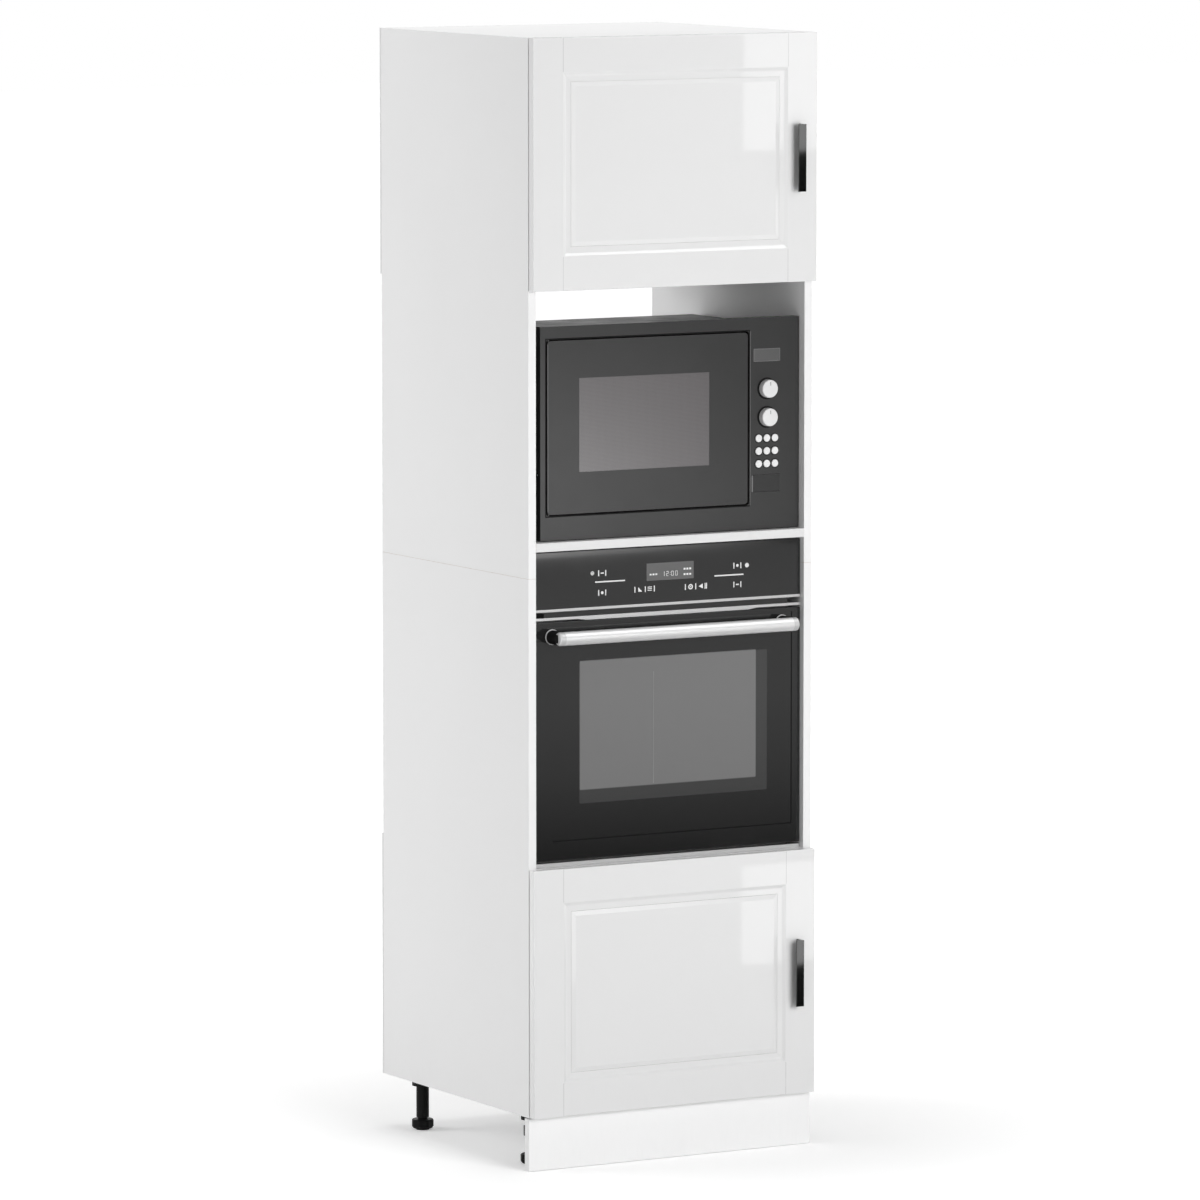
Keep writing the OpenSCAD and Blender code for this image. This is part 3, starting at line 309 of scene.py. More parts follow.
def mix_node(nt, share, under, over):
    """Colour that goes from under to over as share goes from 0 to 1."""
    mix = nt.nodes.new("ShaderNodeMix")
    mix.data_type = "RGBA"
    for socket, value in (("Factor", share), ("A", under), ("B", over)):
        feed(nt, (*value, 1) if isinstance(value, tuple) else value, mix.inputs[socket])
    return mix.outputs["Result"]


def make_tone_and_touch():
    """Colour that drifts between two tones, and roughness that rises in faint smudges."""
    nt, gin, gout = group(
        "tone_and_touch", ("Color", "Roughness"),
        (("Tone A", (0.8, 0.8, 0.8, 1)), ("Tone B", (0.75, 0.75, 0.75, 1))),
        Drift_Scale=2.0, Smudge_Scale=14.0, Smooth=0.3, Dull=0.4)
    point = object_point(nt)
    drift = spread_node(nt, noise_node(nt, point, gin["Drift Scale"], 3), 0.0, 1.0)
    nt.links.new(mix_node(nt, drift, gin["Tone A"], gin["Tone B"]), gout["Color"])
    smudge = noise_node(nt, point, gin["Smudge Scale"], 5, 0.6)
    nt.links.new(spread_node(nt, smudge, gin["Smooth"], gin["Dull"]), gout["Roughness"])
    return nt


def make_fine_relief():
    """Height of a fine grain on a slower waviness, each with its own size."""
    nt, gin, gout = group("fine_relief", ("Height",), Grain_Scale=900.0, Wave_Scale=60.0, Grain_Share=0.5)
    point = object_point(nt)
    grain = math_node(nt, "MULTIPLY", noise_node(nt, point, gin["Grain Scale"], 1), gin["Grain Share"])
    rest = math_node(nt, "SUBTRACT", 1.0, gin["Grain Share"])
    wave = math_node(nt, "MULTIPLY", noise_node(nt, point, gin["Wave Scale"], 0), rest)
    nt.links.new(math_node(nt, "ADD", grain, wave), gout["Height"])
    return nt


def make_brushed(name, stretch):
    """Height and shade of hair-fine lines along one axis."""
    nt, gin, gout = group(name, ("Height", "Shade"), Line_Scale=700.0)
    lines = noise_node(nt, object_point(nt, stretch), gin["Line Scale"], 2, 0.7)
    nt.links.new(lines, gout["Height"])
    nt.links.new(spread_node(nt, lines, 0.0, 1.0), gout["Shade"])
    return nt


def make_speckle():
    """1 in small scattered spots, 0 elsewhere."""
    nt, gin, gout = group("speckle", ("Mask",), Spot_Scale=260.0, Spot_Size=0.18)
    cells = nt.nodes.new("ShaderNodeTexVoronoi")
    for socket, value in (("Vector", object_point(nt)), ("Scale", gin["Spot Scale"]), ("Randomness", 1.0)):
        feed(nt, value, cells.inputs[socket])
    nt.links.new(math_node(nt, "LESS_THAN", cells.outputs["Distance"], gin["Spot Size"]), gout["Mask"])
    return nt


def across_length(nt, pair):
    """Length of the vector with those two components."""
    squares = [math_node(nt, "MULTIPLY", d, d) for d in pair]
    return math_node(nt, "SQRT", math_node(nt, "ADD", *squares))


def make_window_mask():
    """1 inside a rounded rectangle of the XZ plane, given in metres, falling to 0 over the edge width."""
    nt, gin, gout = group("window_mask", ("Mask",), Centre_X=0.0, Centre_Z=0.0, Half_Width=0.1,
                          Half_Height=0.1, Corner=0.004, Edge=0.0006)
    point = split_point(nt)
    away = []
    for axis, centre, half in (("X", "Centre X", "Half Width"), ("Z", "Centre Z", "Half Height")):
        d = math_node(nt, "ABSOLUTE", math_node(nt, "SUBTRACT", point[axis], gin[centre]))
        inner = math_node(nt, "SUBTRACT", gin[half], gin["Corner"])
        away.append(math_node(nt, "MAXIMUM", math_node(nt, "SUBTRACT", d, inner), 0.0))
    left = math_node(nt, "SUBTRACT", gin["Corner"], across_length(nt, away))
    mask = math_node(nt, "ADD", math_node(nt, "DIVIDE", left, gin["Edge"]), 0.5, clamp=True)
    nt.links.new(mask, gout["Mask"])
    return nt


def make_hole_grid():
    """1 in round holes that repeat along X and Z, in metres."""
    nt, gin, gout = group("hole_grid", ("Mask",), Pitch=0.0024, Hole_Share=0.34)
    point = split_point(nt)
    cells = [math_node(nt, "FRACT", math_node(nt, "DIVIDE", point[axis], gin["Pitch"])) for axis in ("X", "Z")]
    away = across_length(nt, [math_node(nt, "SUBTRACT", cell, 0.5) for cell in cells])
    nt.links.new(math_node(nt, "LESS_THAN", away, gin["Hole Share"]), gout["Mask"])
    return nt


def make_scuffs():
    """Fine scratches and dust that gather within a reach above a height, both in metres."""
    nt, gin, gout = group("low_scuffs", ("Mask",), Height=0.0, Reach=0.1, Scratch_Scale=90.0, Amount=0.5)
    above = math_node(nt, "SUBTRACT", split_point(nt)["Z"], gin["Height"])
    near = math_node(nt, "SUBTRACT", 1.0, math_node(nt, "DIVIDE", above, gin["Reach"]), clamp=True)
    scratch = noise_node(nt, object_point(nt, (1, 1, 0.12)), gin["Scratch Scale"], 6, 0.75)
    marks = math_node(nt, "POWER", spread_node(nt, scratch, 0.0, 1.0), 3.0, clamp=True)
    marks = math_node(nt, "MULTIPLY", marks, near)
    nt.links.new(math_node(nt, "MULTIPLY", marks, gin["Amount"], clamp=True), gout["Mask"])
    return nt


TONE = make_tone_and_touch()
HOLES = make_hole_grid()
SCUFFS = make_scuffs()
RELIEF = make_fine_relief()
BRUSHED_X = make_brushed("brushed_along_x", (0.02, 1, 1))
BRUSHED_Z = make_brushed("brushed_along_z", (1, 1, 0.02))
SPECKLE = make_speckle()
WINDOW = make_window_mask()


class Finish:
    """A material with one Principled shader, and the nodes that drive it."""

    def __init__(self, name, metallic=0.0, **sockets):
        self.mat = bpy.data.materials.new(name)
        self.mat.use_nodes = True
        self.nt = self.mat.node_tree
        self.nt.nodes.clear()
        self.out = self.nt.nodes.new("ShaderNodeOutputMaterial")
        self.shader = self.nt.nodes.new("ShaderNodeBsdfPrincipled")
        self.nt.links.new(self.shader.outputs[0], self.out.inputs["Surface"])
        self.shader.inputs["Metallic"].default_value = metallic
        for label, value in sockets.items():
            self.shader.inputs[label.replace("_", " ")].default_value = value

    def place(self, tree, **values):
        node = self.nt.nodes.new("ShaderNodeGroup")
        node.node_tree = tree
        for label, value in values.items():
            node.inputs[label.replace("_", " ")].default_value = value
        return node

    def tone(self, a, b, smooth, dull, drift=2.0, smudge=14.0):
        node = self.place(TONE, Tone_A=(*a, 1), Tone_B=(*b, 1), Drift_Scale=drift,
                          Smudge_Scale=smudge, Smooth=smooth, Dull=dull)
        self.drive("Base Color", node.outputs["Color"])
        self.drive("Roughness", node.outputs["Roughness"])
        return node

    def drive(self, socket, output):
        self.nt.links.new(output, self.shader.inputs[socket])

    def bump(self, height, strength, distance):
        node = self.nt.nodes.new("ShaderNodeBump")
        node.inputs["Strength"].default_value = strength
        node.inputs["Distance"].default_value = distance
        self.nt.links.new(height, node.inputs["Height"])
        self.drive("Normal", node.outputs["Normal"])

    def relief(self, grain, wave, share, strength, distance):
        node = self.place(RELIEF, Grain_Scale=grain, Wave_Scale=wave, Grain_Share=share)
        self.bump(node.outputs["Height"], strength, distance)

    def blend(self, mask, under, over):
        """Colour that goes from under to over where mask is 1; each is a colour or a socket."""
        return mix_node(self.nt, mask, under, over)


def grey(v):
    return (v, v, v)


def board_laminate(name, tone, scuff_height=0.1):
    f = Finish(name, Specular_IOR_Level=0.4)
    node = f.tone(grey(tone), grey(tone * 0.985), 0.42, 0.5, drift=3.0, smudge=30)
    marks = f.place(SCUFFS, Height=scuff_height, Reach=0.12, Scratch_Scale=160.0, Amount=0.25)
    f.drive("Base Color", f.blend(marks.outputs["Mask"], node.outputs["Color"], grey(tone * 0.86)))
    f.relief(2200, 300, 0.6, 0.12, 0.0002)
    return f.mat


def edge_band(name, tone):
    f = Finish(name, Specular_IOR_Level=0.5)
    f.tone(grey(tone), grey(tone * 0.98), 0.3, 0.38, drift=8.0, smudge=60)
    f.relief(1500, 90, 0.5, 0.06, 0.0002)
    return f.mat


def raw_chipboard(name):
    f = Finish(name, Specular_IOR_Level=0.2)
    node = f.tone((0.42, 0.29, 0.17), (0.3, 0.19, 0.1), 0.85, 0.95, drift=420, smudge=200)
    chips = f.place(SPECKLE, Spot_Scale=520.0, Spot_Size=0.28)
    f.drive("Base Color", f.blend(chips.outputs["Mask"], node.outputs["Color"], (0.55, 0.41, 0.26)))
    f.relief(900, 400, 0.5, 0.6, 0.0006)
    return f.mat


def hardboard(name):
    f = Finish(name, Specular_IOR_Level=0.35)
    f.tone(grey(0.8), grey(0.77), 0.5, 0.6, drift=4.0, smudge=40)
    f.relief(700, 160, 0.7, 0.18, 0.0003)
    return f.mat


def gloss_front(name):
    f = Finish(name, Coat_Weight=1.0, Coat_Roughness=0.035, Coat_IOR=1.5,
               Specular_IOR_Level=0.3)
    node = f.tone(grey(0.8), grey(0.79), 0.28, 0.34, drift=1.5, smudge=20)
    marks = f.place(SCUFFS, Height=0.1, Reach=0.2, Scratch_Scale=220.0, Amount=0.12)
    f.drive("Base Color", f.blend(marks.outputs["Mask"], node.outputs["Color"], grey(0.7)))
    f.relief(160, 22, 0.15, 0.03, 0.0006)
    return f.mat


def beech_wood(name):
    f = Finish(name, Specular_IOR_Level=0.3)
    lines = f.place(BRUSHED_X, Line_Scale=260.0)
    f.tone((0.62, 0.42, 0.25), (0.55, 0.36, 0.2), 0.55, 0.7, drift=40)
    f.drive("Base Color", f.blend(lines.outputs["Shade"], (0.62, 0.43, 0.26), (0.46, 0.29, 0.16)))
    f.bump(lines.outputs["Height"], 0.2, 0.0003)
    return f.mat


def moulded_plastic(name, tone, smooth, dull, grain=1400, strength=0.15, spec=0.5):
    f = Finish(name, Specular_IOR_Level=spec)
    f.tone(grey(tone), grey(tone * 0.86), smooth, dull, drift=5.0, smudge=24)
    f.relief(grain, 120, 0.8, strength, 0.0003)
    return f.mat


def gloss_black_metal(name):
    f = Finish(name, Coat_Weight=1.0, Coat_Roughness=0.05, Coat_IOR=1.8,
               Specular_IOR_Level=0.1)
    f.tone(grey(0.002), grey(0.0015), 0.25, 0.35, drift=20, smudge=60)
    f.relief(900, 120, 0.4, 0.04, 0.0003)
    return f.mat


def plated_steel(name, tone, smooth, dull, tree):
    f = Finish(name, metallic=1.0)
    node = f.tone(tone, tuple(c * 0.92 for c in tone), smooth, dull, drift=30, smudge=90)
    hair = f.place(tree, Line_Scale=600.0)
    worn = tuple(c * 0.93 for c in tone)
    f.drive("Base Color", f.blend(hair.outputs["Shade"], node.outputs["Color"], worn))
    f.bump(hair.outputs["Height"], 0.06, 0.0001)
    return f.mat


def satin_bar(name, tone, tree):
    """Bead-blasted aluminium with a soft sheen and very fine lines."""
    f = Finish(name, metallic=0.4, Specular_IOR_Level=0.6)
    node = f.tone(grey(tone), grey(tone * 0.96), 0.36, 0.42, drift=20, smudge=60)
    hair = f.place(tree, Line_Scale=700.0)
    f.drive("Base Color", f.blend(hair.outputs["Shade"], node.outputs["Color"], grey(tone * 0.96)))
    f.bump(hair.outputs["Height"], 0.01, 0.0001)
    return f.mat


def enamel(name, base, spots, spot_share):
    f = Finish(name, Coat_Weight=0.6, Coat_Roughness=0.12, Specular_IOR_Level=0.5)
    node = f.tone(base, tuple(c * 0.85 for c in base), 0.22, 0.34, drift=6, smudge=22)
    dots = f.place(SPECKLE, Spot_Scale=430.0, Spot_Size=spot_share)
    f.drive("Base Color", f.blend(dots.outputs["Mask"], node.outputs["Color"], spots))
    f.relief(500, 45, 0.3, 0.08, 0.0005)
    return f.mat


def sheet_steel(name, tone, metallic=0.85):
    f = Finish(name, metallic=metallic)
    node = f.tone(grey(tone), grey(tone * 0.8), 0.34, 0.48, drift=5, smudge=16)
    spangle = f.place(SPECKLE, Spot_Scale=340.0, Spot_Size=0.3)
    f.drive("Base Color", f.blend(spangle.outputs["Mask"], node.outputs["Color"], grey(tone * 1.06)))
    f.relief(600, 30, 0.4, 0.06, 0.0005)
    return f.mat


def dark_glass(name, tone, spec=0.5, coat=0.5):
    f = Finish(name, Specular_IOR_Level=spec, Coat_Weight=coat, Coat_Roughness=0.03)
    f.tone(grey(tone), grey(tone * 0.92), 0.05, 0.09, drift=3, smudge=10)
    f.relief(200, 8, 0.1, 0.015, 0.0006)
    return f.mat


def door_glass(name, tone, rim_tone, view_tone):
    """Dark glass with a printed surround, a lighter rim and the grey view through it."""
    f = Finish(name, Specular_IOR_Level=0.5, Coat_Weight=0.3, Coat_Roughness=0.03)
    node = f.tone(grey(tone), grey(tone * 0.9), 0.05, 0.1, drift=3, smudge=10)
    rim = f.place(WINDOW, Centre_X=0.0125, Centre_Z=0.8015, Half_Width=0.1995, Half_Height=0.1305,
                  Corner=0.003, Edge=0.002)
    view = f.place(WINDOW, Centre_X=0.001, Centre_Z=0.8145, Half_Width=0.187, Half_Height=0.1185,
                   Corner=0.002, Edge=0.002)
    shade = f.blend(rim.outputs["Mask"], node.outputs["Color"], grey(rim_tone))
    f.drive("Base Color", f.blend(view.outputs["Mask"], shade, grey(view_tone)))
    f.relief(200, 8, 0.1, 0.015, 0.0006)
    return f.mat


def screened_glass(name, pane, hole):
    """Grey pane with the dotted screen of the microwave's door showing through."""
    f = Finish(name, Specular_IOR_Level=0.5, Coat_Weight=0.5, Coat_Roughness=0.03)
    node = f.tone(pane, tuple(c * 0.94 for c in pane), 0.06, 0.1, drift=3, smudge=10)
    dots = f.place(HOLES, Pitch=0.0024, Hole_Share=0.33)
    f.drive("Base Color", f.blend(dots.outputs["Mask"], node.outputs["Color"], hole))
    f.relief(200, 8, 0.1, 0.015, 0.0006)
    return f.mat


def clear_glass(name):
    f = Finish(name, Specular_IOR_Level=0.5, IOR=1.5, Transmission_Weight=1.0)
    f.tone((0.93, 0.97, 0.95), (0.88, 0.94, 0.92), 0.03, 0.12, drift=4, smudge=30)
    f.relief(300, 40, 0.1, 0.02, 0.0005)
    return f.mat


def rubber(name):
    f = Finish(name, Specular_IOR_Level=0.3)
    f.tone(grey(0.02), grey(0.03), 0.6, 0.75, drift=30)
    f.relief(1400, 200, 0.7, 0.3, 0.0004)
    return f.mat


FINISH = {name: make(name, *values) for name, make, *values in (
    ("white_board", board_laminate, 0.91),
    ("edge_band", edge_band, 0.87),
    ("shelf_edge", edge_band, 0.75),
    ("raw_chipboard", raw_chipboard),
    ("white_hardboard", hardboard),
    ("plinth_white", board_laminate, 0.93, 0.0),
    ("gloss_white_front", gloss_front),
    ("beech", beech_wood),
    ("black_plastic", moulded_plastic, 0.005, 0.4, 0.5, 1400, 0.15, 0.12),
    ("black_handle", gloss_black_metal),
    ("zinc_steel", plated_steel, (0.62, 0.63, 0.64), 0.22, 0.34, BRUSHED_Z),
    ("oven_sheet", sheet_steel, 0.36),
    ("oven_enamel", enamel, (0.022, 0.023, 0.027), (0.11, 0.11, 0.12), 0.12),
    ("black_glass", dark_glass, 0.015),
    ("oven_door_glass", door_glass, 0.015, 0.042, 0.165),
    ("panel_marks", moulded_plastic, 0.86, 0.3, 0.4, 900, 0.03),
    ("panel_display", dark_glass, 0.13, 0.5, 0.3),
    ("steel_trim", satin_bar, 0.62, BRUSHED_X),
    ("seal_rubber", rubber),
    ("chrome_wire", plated_steel, (0.66, 0.66, 0.67), 0.12, 0.22, BRUSHED_X),
    ("element_steel", plated_steel, (0.16, 0.15, 0.14), 0.4, 0.55, BRUSHED_X),
    ("fan_steel", plated_steel, (0.5, 0.5, 0.5), 0.3, 0.42, BRUSHED_X),
    ("handle_bar", satin_bar, 0.86, BRUSHED_X),
    ("handle_cap", satin_bar, 0.72, BRUSHED_Z),
    ("microwave_sheet", sheet_steel, 0.036, 0.4),
    ("microwave_enamel", enamel, (0.62, 0.62, 0.6), (0.5, 0.5, 0.5), 0.1),
    ("microwave_plastic", moulded_plastic, 0.038, 0.28, 0.31, 900, 0.02),
    ("button_plastic", moulded_plastic, 0.028, 0.3, 0.4, 900, 0.05),
    ("display_lens", dark_glass, 0.115, 0.5, 0.3),
    ("microwave_window", screened_glass, (0.13, 0.122, 0.125), (0.1, 0.092, 0.095)),
    ("silver_plastic", moulded_plastic, 0.85, 0.28, 0.36, 600, 0.04),
    # edge_strip: light grey for painted highlights at the microwave's door gap, door edge, release button and
    # clock rim.
    ("edge_strip", moulded_plastic, 0.15, 0.3, 0.4, 900, 0.03),
    # black_ring: black for the handle posts and the dark joint line on the oven door's glass, and painted shade
    # on the microwave's frame flanks, round its door gap and round its knobs and keys.
    ("black_ring", moulded_plastic, 0.003, 0.45, 0.6, 900, 0.03, 0.2),
    ("door_joint", moulded_plastic, 0.66, 0.2, 0.3, 900, 0.02),
    ("knob_pointer", moulded_plastic, 0.3, 0.35, 0.45, 900, 0.03),
    ("door_seam", moulded_plastic, 0.21, 0.3, 0.4, 900, 0.02),
    ("clear_glass", clear_glass),
    ("white_plastic", moulded_plastic, 0.75, 0.35, 0.45),
)}


# Making pieces

BODY_OF = {node: body for body, nodes in frame["record"]["behaviour"]["bodies"].items() for node in nodes}


OWN_FRONT = 263.25


def local(x, y, z):
    """A point in metres from the part's own millimetres, with y counted from the carcass front."""
    return Vector((x * MM, (y - OWN_FRONT) * MM, z * MM))


def weigh_corners(mesh, widest):
    """Corner normals weighted by face area, so that a flat face stays flat right up to its eased edges."""
    normals = [face.normal.copy() for face in mesh.polygons]
    areas = [face.area for face in mesh.polygons]
    around = [[] for _ in mesh.vertices]
    for face in mesh.polygons:
        for v in face.vertices:
            around[v].append(face.index)
    limit = math.cos(math.radians(widest))
    corners = []
    for face in mesh.polygons:
        own = normals[face.index]
        for v in face.vertices:
            total = Vector()
            for i in around[v]:
                if normals[i].dot(own) >= limit:
                    total += normals[i] * areas[i]
            corners.append(total.normalized() if total.length > 1e-12 else own)
    mesh.normals_split_custom_set(corners)


def piece(name, bm, finishes, body, replaces=()):
    """Turns bm into a finished piece that rides on body and stands for the replaced nodes."""
    mesh = bpy.data.meshes.new(name)
    bm.to_mesh(mesh)
    bm.free()
    for finish in finishes:
        mesh.materials.append(FINISH[finish])
    for face in mesh.polygons:
        face.use_smooth = True
    weigh_corners(mesh, 50)
    obj = link(bpy.data.objects.new(name, mesh))
    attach(obj, body)
    if replaces:
        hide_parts(*replaces)


def ease_edges(bm, edges, width, segments=2, clamp=True):
    bmesh.ops.bevel(bm, geom=edges, offset=width, segments=segments, profile=0.5, affect="EDGES",
                    clamp_overlap=clamp)


def add_box(bm, low, high, ease=0.0005, segments=2):
    """A box with eased edges."""
    low, high = Vector(low), Vector(high)
    corners = bmesh.ops.create_cube(bm, size=1.0)["verts"]
    for v in corners:
        v.co = Vector([(low[i] + high[i]) / 2 + v.co[i] * (high[i] - low[i]) for i in range(3)])
    edges = list({e for v in corners for e in v.link_edges})
    if ease > 0:
        ease_edges(bm, edges, ease, segments)


def add_lathe(bm, profile, centre, axis, segments=48, bands=None):
    """A solid turned about an axis through centre; profile lists (distance along, radius)."""
    turn = Vector((0, 0, 1)).rotation_difference(Vector(axis)).to_matrix()
    rings = []
    for along, radius in profile:
        if radius < 1e-7:
            rings.append([bm.verts.new(Vector(centre) + turn @ Vector((0, 0, along)))])
            continue
        ring = []
        for i in range(segments):
            a = 2 * math.pi * i / segments
            ring.append(bm.verts.new(Vector(centre) + turn @ Vector((
                radius * math.cos(a), radius * math.sin(a), along))))
        rings.append(ring)
    for k in range(len(rings) - 1):
        a, b = rings[k], rings[k + 1]
        for i in range(segments):
            j = (i + 1) % segments
            if len(a) == 1:
                face = (a[0], b[j], b[i])
            elif len(b) == 1:
                face = (a[i], a[j], b[0])
            else:
                face = (a[i], a[j], b[j], b[i])
            bm.faces.new(face).material_index = bands[k] if bands else 0


def add_outline(bm, points, y0, y1):
    """A plate with that outline in the XZ plane, between two depths; points run clockwise from the front."""
    front = [bm.verts.new(Vector((x, y0, z))) for x, z in points]
    back = [bm.verts.new(Vector((x, y1, z))) for x, z in points]
    bm.faces.new(front)
    bm.faces.new(list(reversed(back)))
    for i in range(len(points)):
        j = (i + 1) % len(points)
        bm.faces.new((front[j], front[i], back[i], back[j]))


def merged_copy(node_name):
    """A CAD node's mesh with its doubled points merged and its flat faces joined."""
    bm = bmesh.new()
    bm.from_mesh(frame["nodes"][node_name].data)
    bmesh.ops.remove_doubles(bm, verts=bm.verts, dist=2e-6)
    bmesh.ops.dissolve_limit(bm, angle_limit=math.radians(0.3), verts=bm.verts, edges=bm.edges)
    return bm


def sharp_edges(bm, angle):
    return [e for e in bm.edges if len(e.link_faces) == 2 and e.calc_face_angle(0) > angle]


def eased_copy(name, node_name, width, finishes=None, pick=None):
    """A copy of a CAD node whose sharp edges are eased by that width; pick says which finish a face has."""
    worn = [s.material.name.split(".")[0] for s in frame["nodes"][node_name].material_slots]
    bm = merged_copy(node_name)
    ease_edges(bm, sharp_edges(bm, math.radians(40)), width)
    if pick:
        bm.normal_update()
        for face in bm.faces:
            face.material_index = pick(face)
    piece(name, bm, finishes or worn, BODY_OF[node_name], (node_name,))


# Repeated pieces, made by geometry nodes

def tree_sockets(name, inputs):
    tree = bpy.data.node_groups.new(name, "GeometryNodeTree")
    tree.interface.new_socket("Geometry", in_out="INPUT", socket_type="NodeSocketGeometry")
    for label, kind, value in inputs:
        socket = tree.interface.new_socket(label, in_out="INPUT", socket_type=kind)
        if value is not None:
            socket.default_value = value
    tree.interface.new_socket("Geometry", in_out="OUTPUT", socket_type="NodeSocketGeometry")
    return tree, tree.nodes.new("NodeGroupInput"), tree.nodes.new("NodeGroupOutput")


def stand_on_points(tree, gin, shape):
    """The shape once on each incoming point, all facing one way."""
    new, links = tree.nodes.new, tree.links.new
    points = new("GeometryNodeMeshToPoints")
    links(gin.outputs["Geometry"], points.inputs["Mesh"])
    place = new("GeometryNodeInstanceOnPoints")
    links(points.outputs[0], place.inputs["Points"])
    links(shape, place.inputs["Instance"])
    align = new("FunctionNodeAlignRotationToVector")
    align.axis = "Z"
    links(gin.outputs["Facing"], align.inputs["Vector"])
    links(align.outputs[0], place.inputs["Rotation"])
    return place.outputs[0]


def make_real(tree, gin, gout, placed):
    """Turns the placed shapes into plain mesh in the given material."""
    real = tree.nodes.new("GeometryNodeRealizeInstances")
    tree.links.new(placed, real.inputs[0])
    worn = tree.nodes.new("GeometryNodeSetMaterial")
    tree.links.new(real.outputs[0], worn.inputs["Geometry"])
    tree.links.new(gin.outputs["Material"], worn.inputs["Material"])
    tree.links.new(worn.outputs[0], gout.inputs["Geometry"])


def make_screw_tree():
    """A pan-head screw with a cross recess on each point, turned a little from one to the next."""
    tree, gin, gout = tree_sockets("screw_heads", [
        ("Head Radius", "NodeSocketFloat", 0.0035), ("Head Height", "NodeSocketFloat", 0.0016),
        ("Recess Width", "NodeSocketFloat", 0.0011), ("Facing", "NodeSocketVector", (0, 0, 1)),
        ("Seed", "NodeSocketInt", 3), ("Material", "NodeSocketMaterial", None)])
    new, links = tree.nodes.new, tree.links.new

    head = new("GeometryNodeMeshCone")
    head.inputs["Vertices"].default_value = 20
    head.inputs["Side Segments"].default_value = 2
    links(gin.outputs["Head Radius"], head.inputs["Radius Bottom"])
    links(math_node(tree, "MULTIPLY", gin.outputs["Head Radius"], 0.72), head.inputs["Radius Top"])
    links(gin.outputs["Head Height"], head.inputs["Depth"])
    arms = new("GeometryNodeJoinGeometry")
    length = math_node(tree, "MULTIPLY", gin.outputs["Head Radius"], 1.15)
    depth = math_node(tree, "MULTIPLY", gin.outputs["Head Height"], 1.2)
    for order in ((length, gin.outputs["Recess Width"]), (gin.outputs["Recess Width"], length)):
        size = new("ShaderNodeCombineXYZ")
        links(order[0], size.inputs[0])
        links(order[1], size.inputs[1])
        links(depth, size.inputs[2])
        arm = new("GeometryNodeMeshCube")
        links(size.outputs[0], arm.inputs["Size"])
        up = new("ShaderNodeCombineXYZ")
        links(gin.outputs["Head Height"], up.inputs[2])
        lift = new("GeometryNodeTransform")
        links(arm.outputs["Mesh"], lift.inputs["Geometry"])
        links(up.outputs[0], lift.inputs["Translation"])
        links(lift.outputs[0], arms.inputs[0])
    cut = new("GeometryNodeMeshBoolean")
    cut.operation = "DIFFERENCE"
    links(head.outputs["Mesh"], cut.inputs["Mesh 1"])
    links(arms.outputs[0], cut.inputs["Mesh 2"])
    turn = new("FunctionNodeRandomValue")
    turn.data_type = "FLOAT"
    turn.inputs[3].default_value = 6.28
    links(gin.outputs["Seed"], turn.inputs["Seed"])
    about = new("ShaderNodeCombineXYZ")
    links(turn.outputs[1], about.inputs[2])
    spin = new("GeometryNodeRotateInstances")
    spin.inputs["Local Space"].default_value = True
    links(stand_on_points(tree, gin, cut.outputs[0]), spin.inputs["Instances"])
    links(about.outputs[0], spin.inputs["Rotation"])
    make_real(tree, gin, gout, spin.outputs[0])
    return tree


def make_ring_tree():
    """A round sleeve on each point, as the rim of a small hole."""
    tree, gin, gout = tree_sockets("hole_sleeves", [
        ("Outer Radius", "NodeSocketFloat", 0.0032), ("Rim Height", "NodeSocketFloat", 0.0004),
        ("Facing", "NodeSocketVector", (0, 0, 1)), ("Material", "NodeSocketMaterial", None)])
    new, links = tree.nodes.new, tree.links.new
    section = new("GeometryNodeCurvePrimitiveCircle")
    section.inputs["Resolution"].default_value = 6
    links(gin.outputs["Rim Height"], section.inputs["Radius"])
    path = new("GeometryNodeCurvePrimitiveCircle")
    path.inputs["Resolution"].default_value = 20
    links(gin.outputs["Outer Radius"], path.inputs["Radius"])
    ring = new("GeometryNodeCurveToMesh")
    links(path.outputs[0], ring.inputs[0])
    links(section.outputs[0], ring.inputs[1])
    make_real(tree, gin, gout, stand_on_points(tree, gin, ring.outputs[0]))
    return tree


SCREWS = make_screw_tree()
SLEEVES = make_ring_tree()


def grown(name, tree, points, finish, body, slot, **values):
    """Runs a node tree on a mesh of points and keeps its result as a plain piece."""
    seed_mesh = bpy.data.meshes.new(name + "_points")
    seed_mesh.from_pydata([tuple(p) for p in points], [], [])
    source = link(bpy.data.objects.new(name + "_points", seed_mesh))
    mod = source.modifiers.new("grow", "NODES")
    mod.node_group = tree
    ids = {s.name: s.identifier for s in tree.interface.items_tree if s.in_out == "INPUT"}
    for label, value in values.items():
        mod[ids[label.replace("_", " ")]] = value
    mod[ids["Material"]] = FINISH[finish]
    source.update_tag()
    seen = source.evaluated_get(bpy.context.evaluated_depsgraph_get())
    mesh = bpy.data.meshes.new_from_object(seen)
    source.modifiers.clear()
    bpy.data.objects.remove(source)
    mesh.name = name
    for face in mesh.polygons:
        face.use_smooth = True
    weigh_corners(mesh, 30)
    obj = link(bpy.data.objects.new(name, mesh))
    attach(obj, body)


def screws(name, points, body, facing, radius, height, recess, seed):
    """Zinc screws at those points, in metres."""
    grown(name, SCREWS, points, "zinc_steel", body, "zinc_steel", Facing=facing, Head_Radius=radius,
          Head_Height=height, Recess_Width=recess, Seed=seed)


# Carcass boards

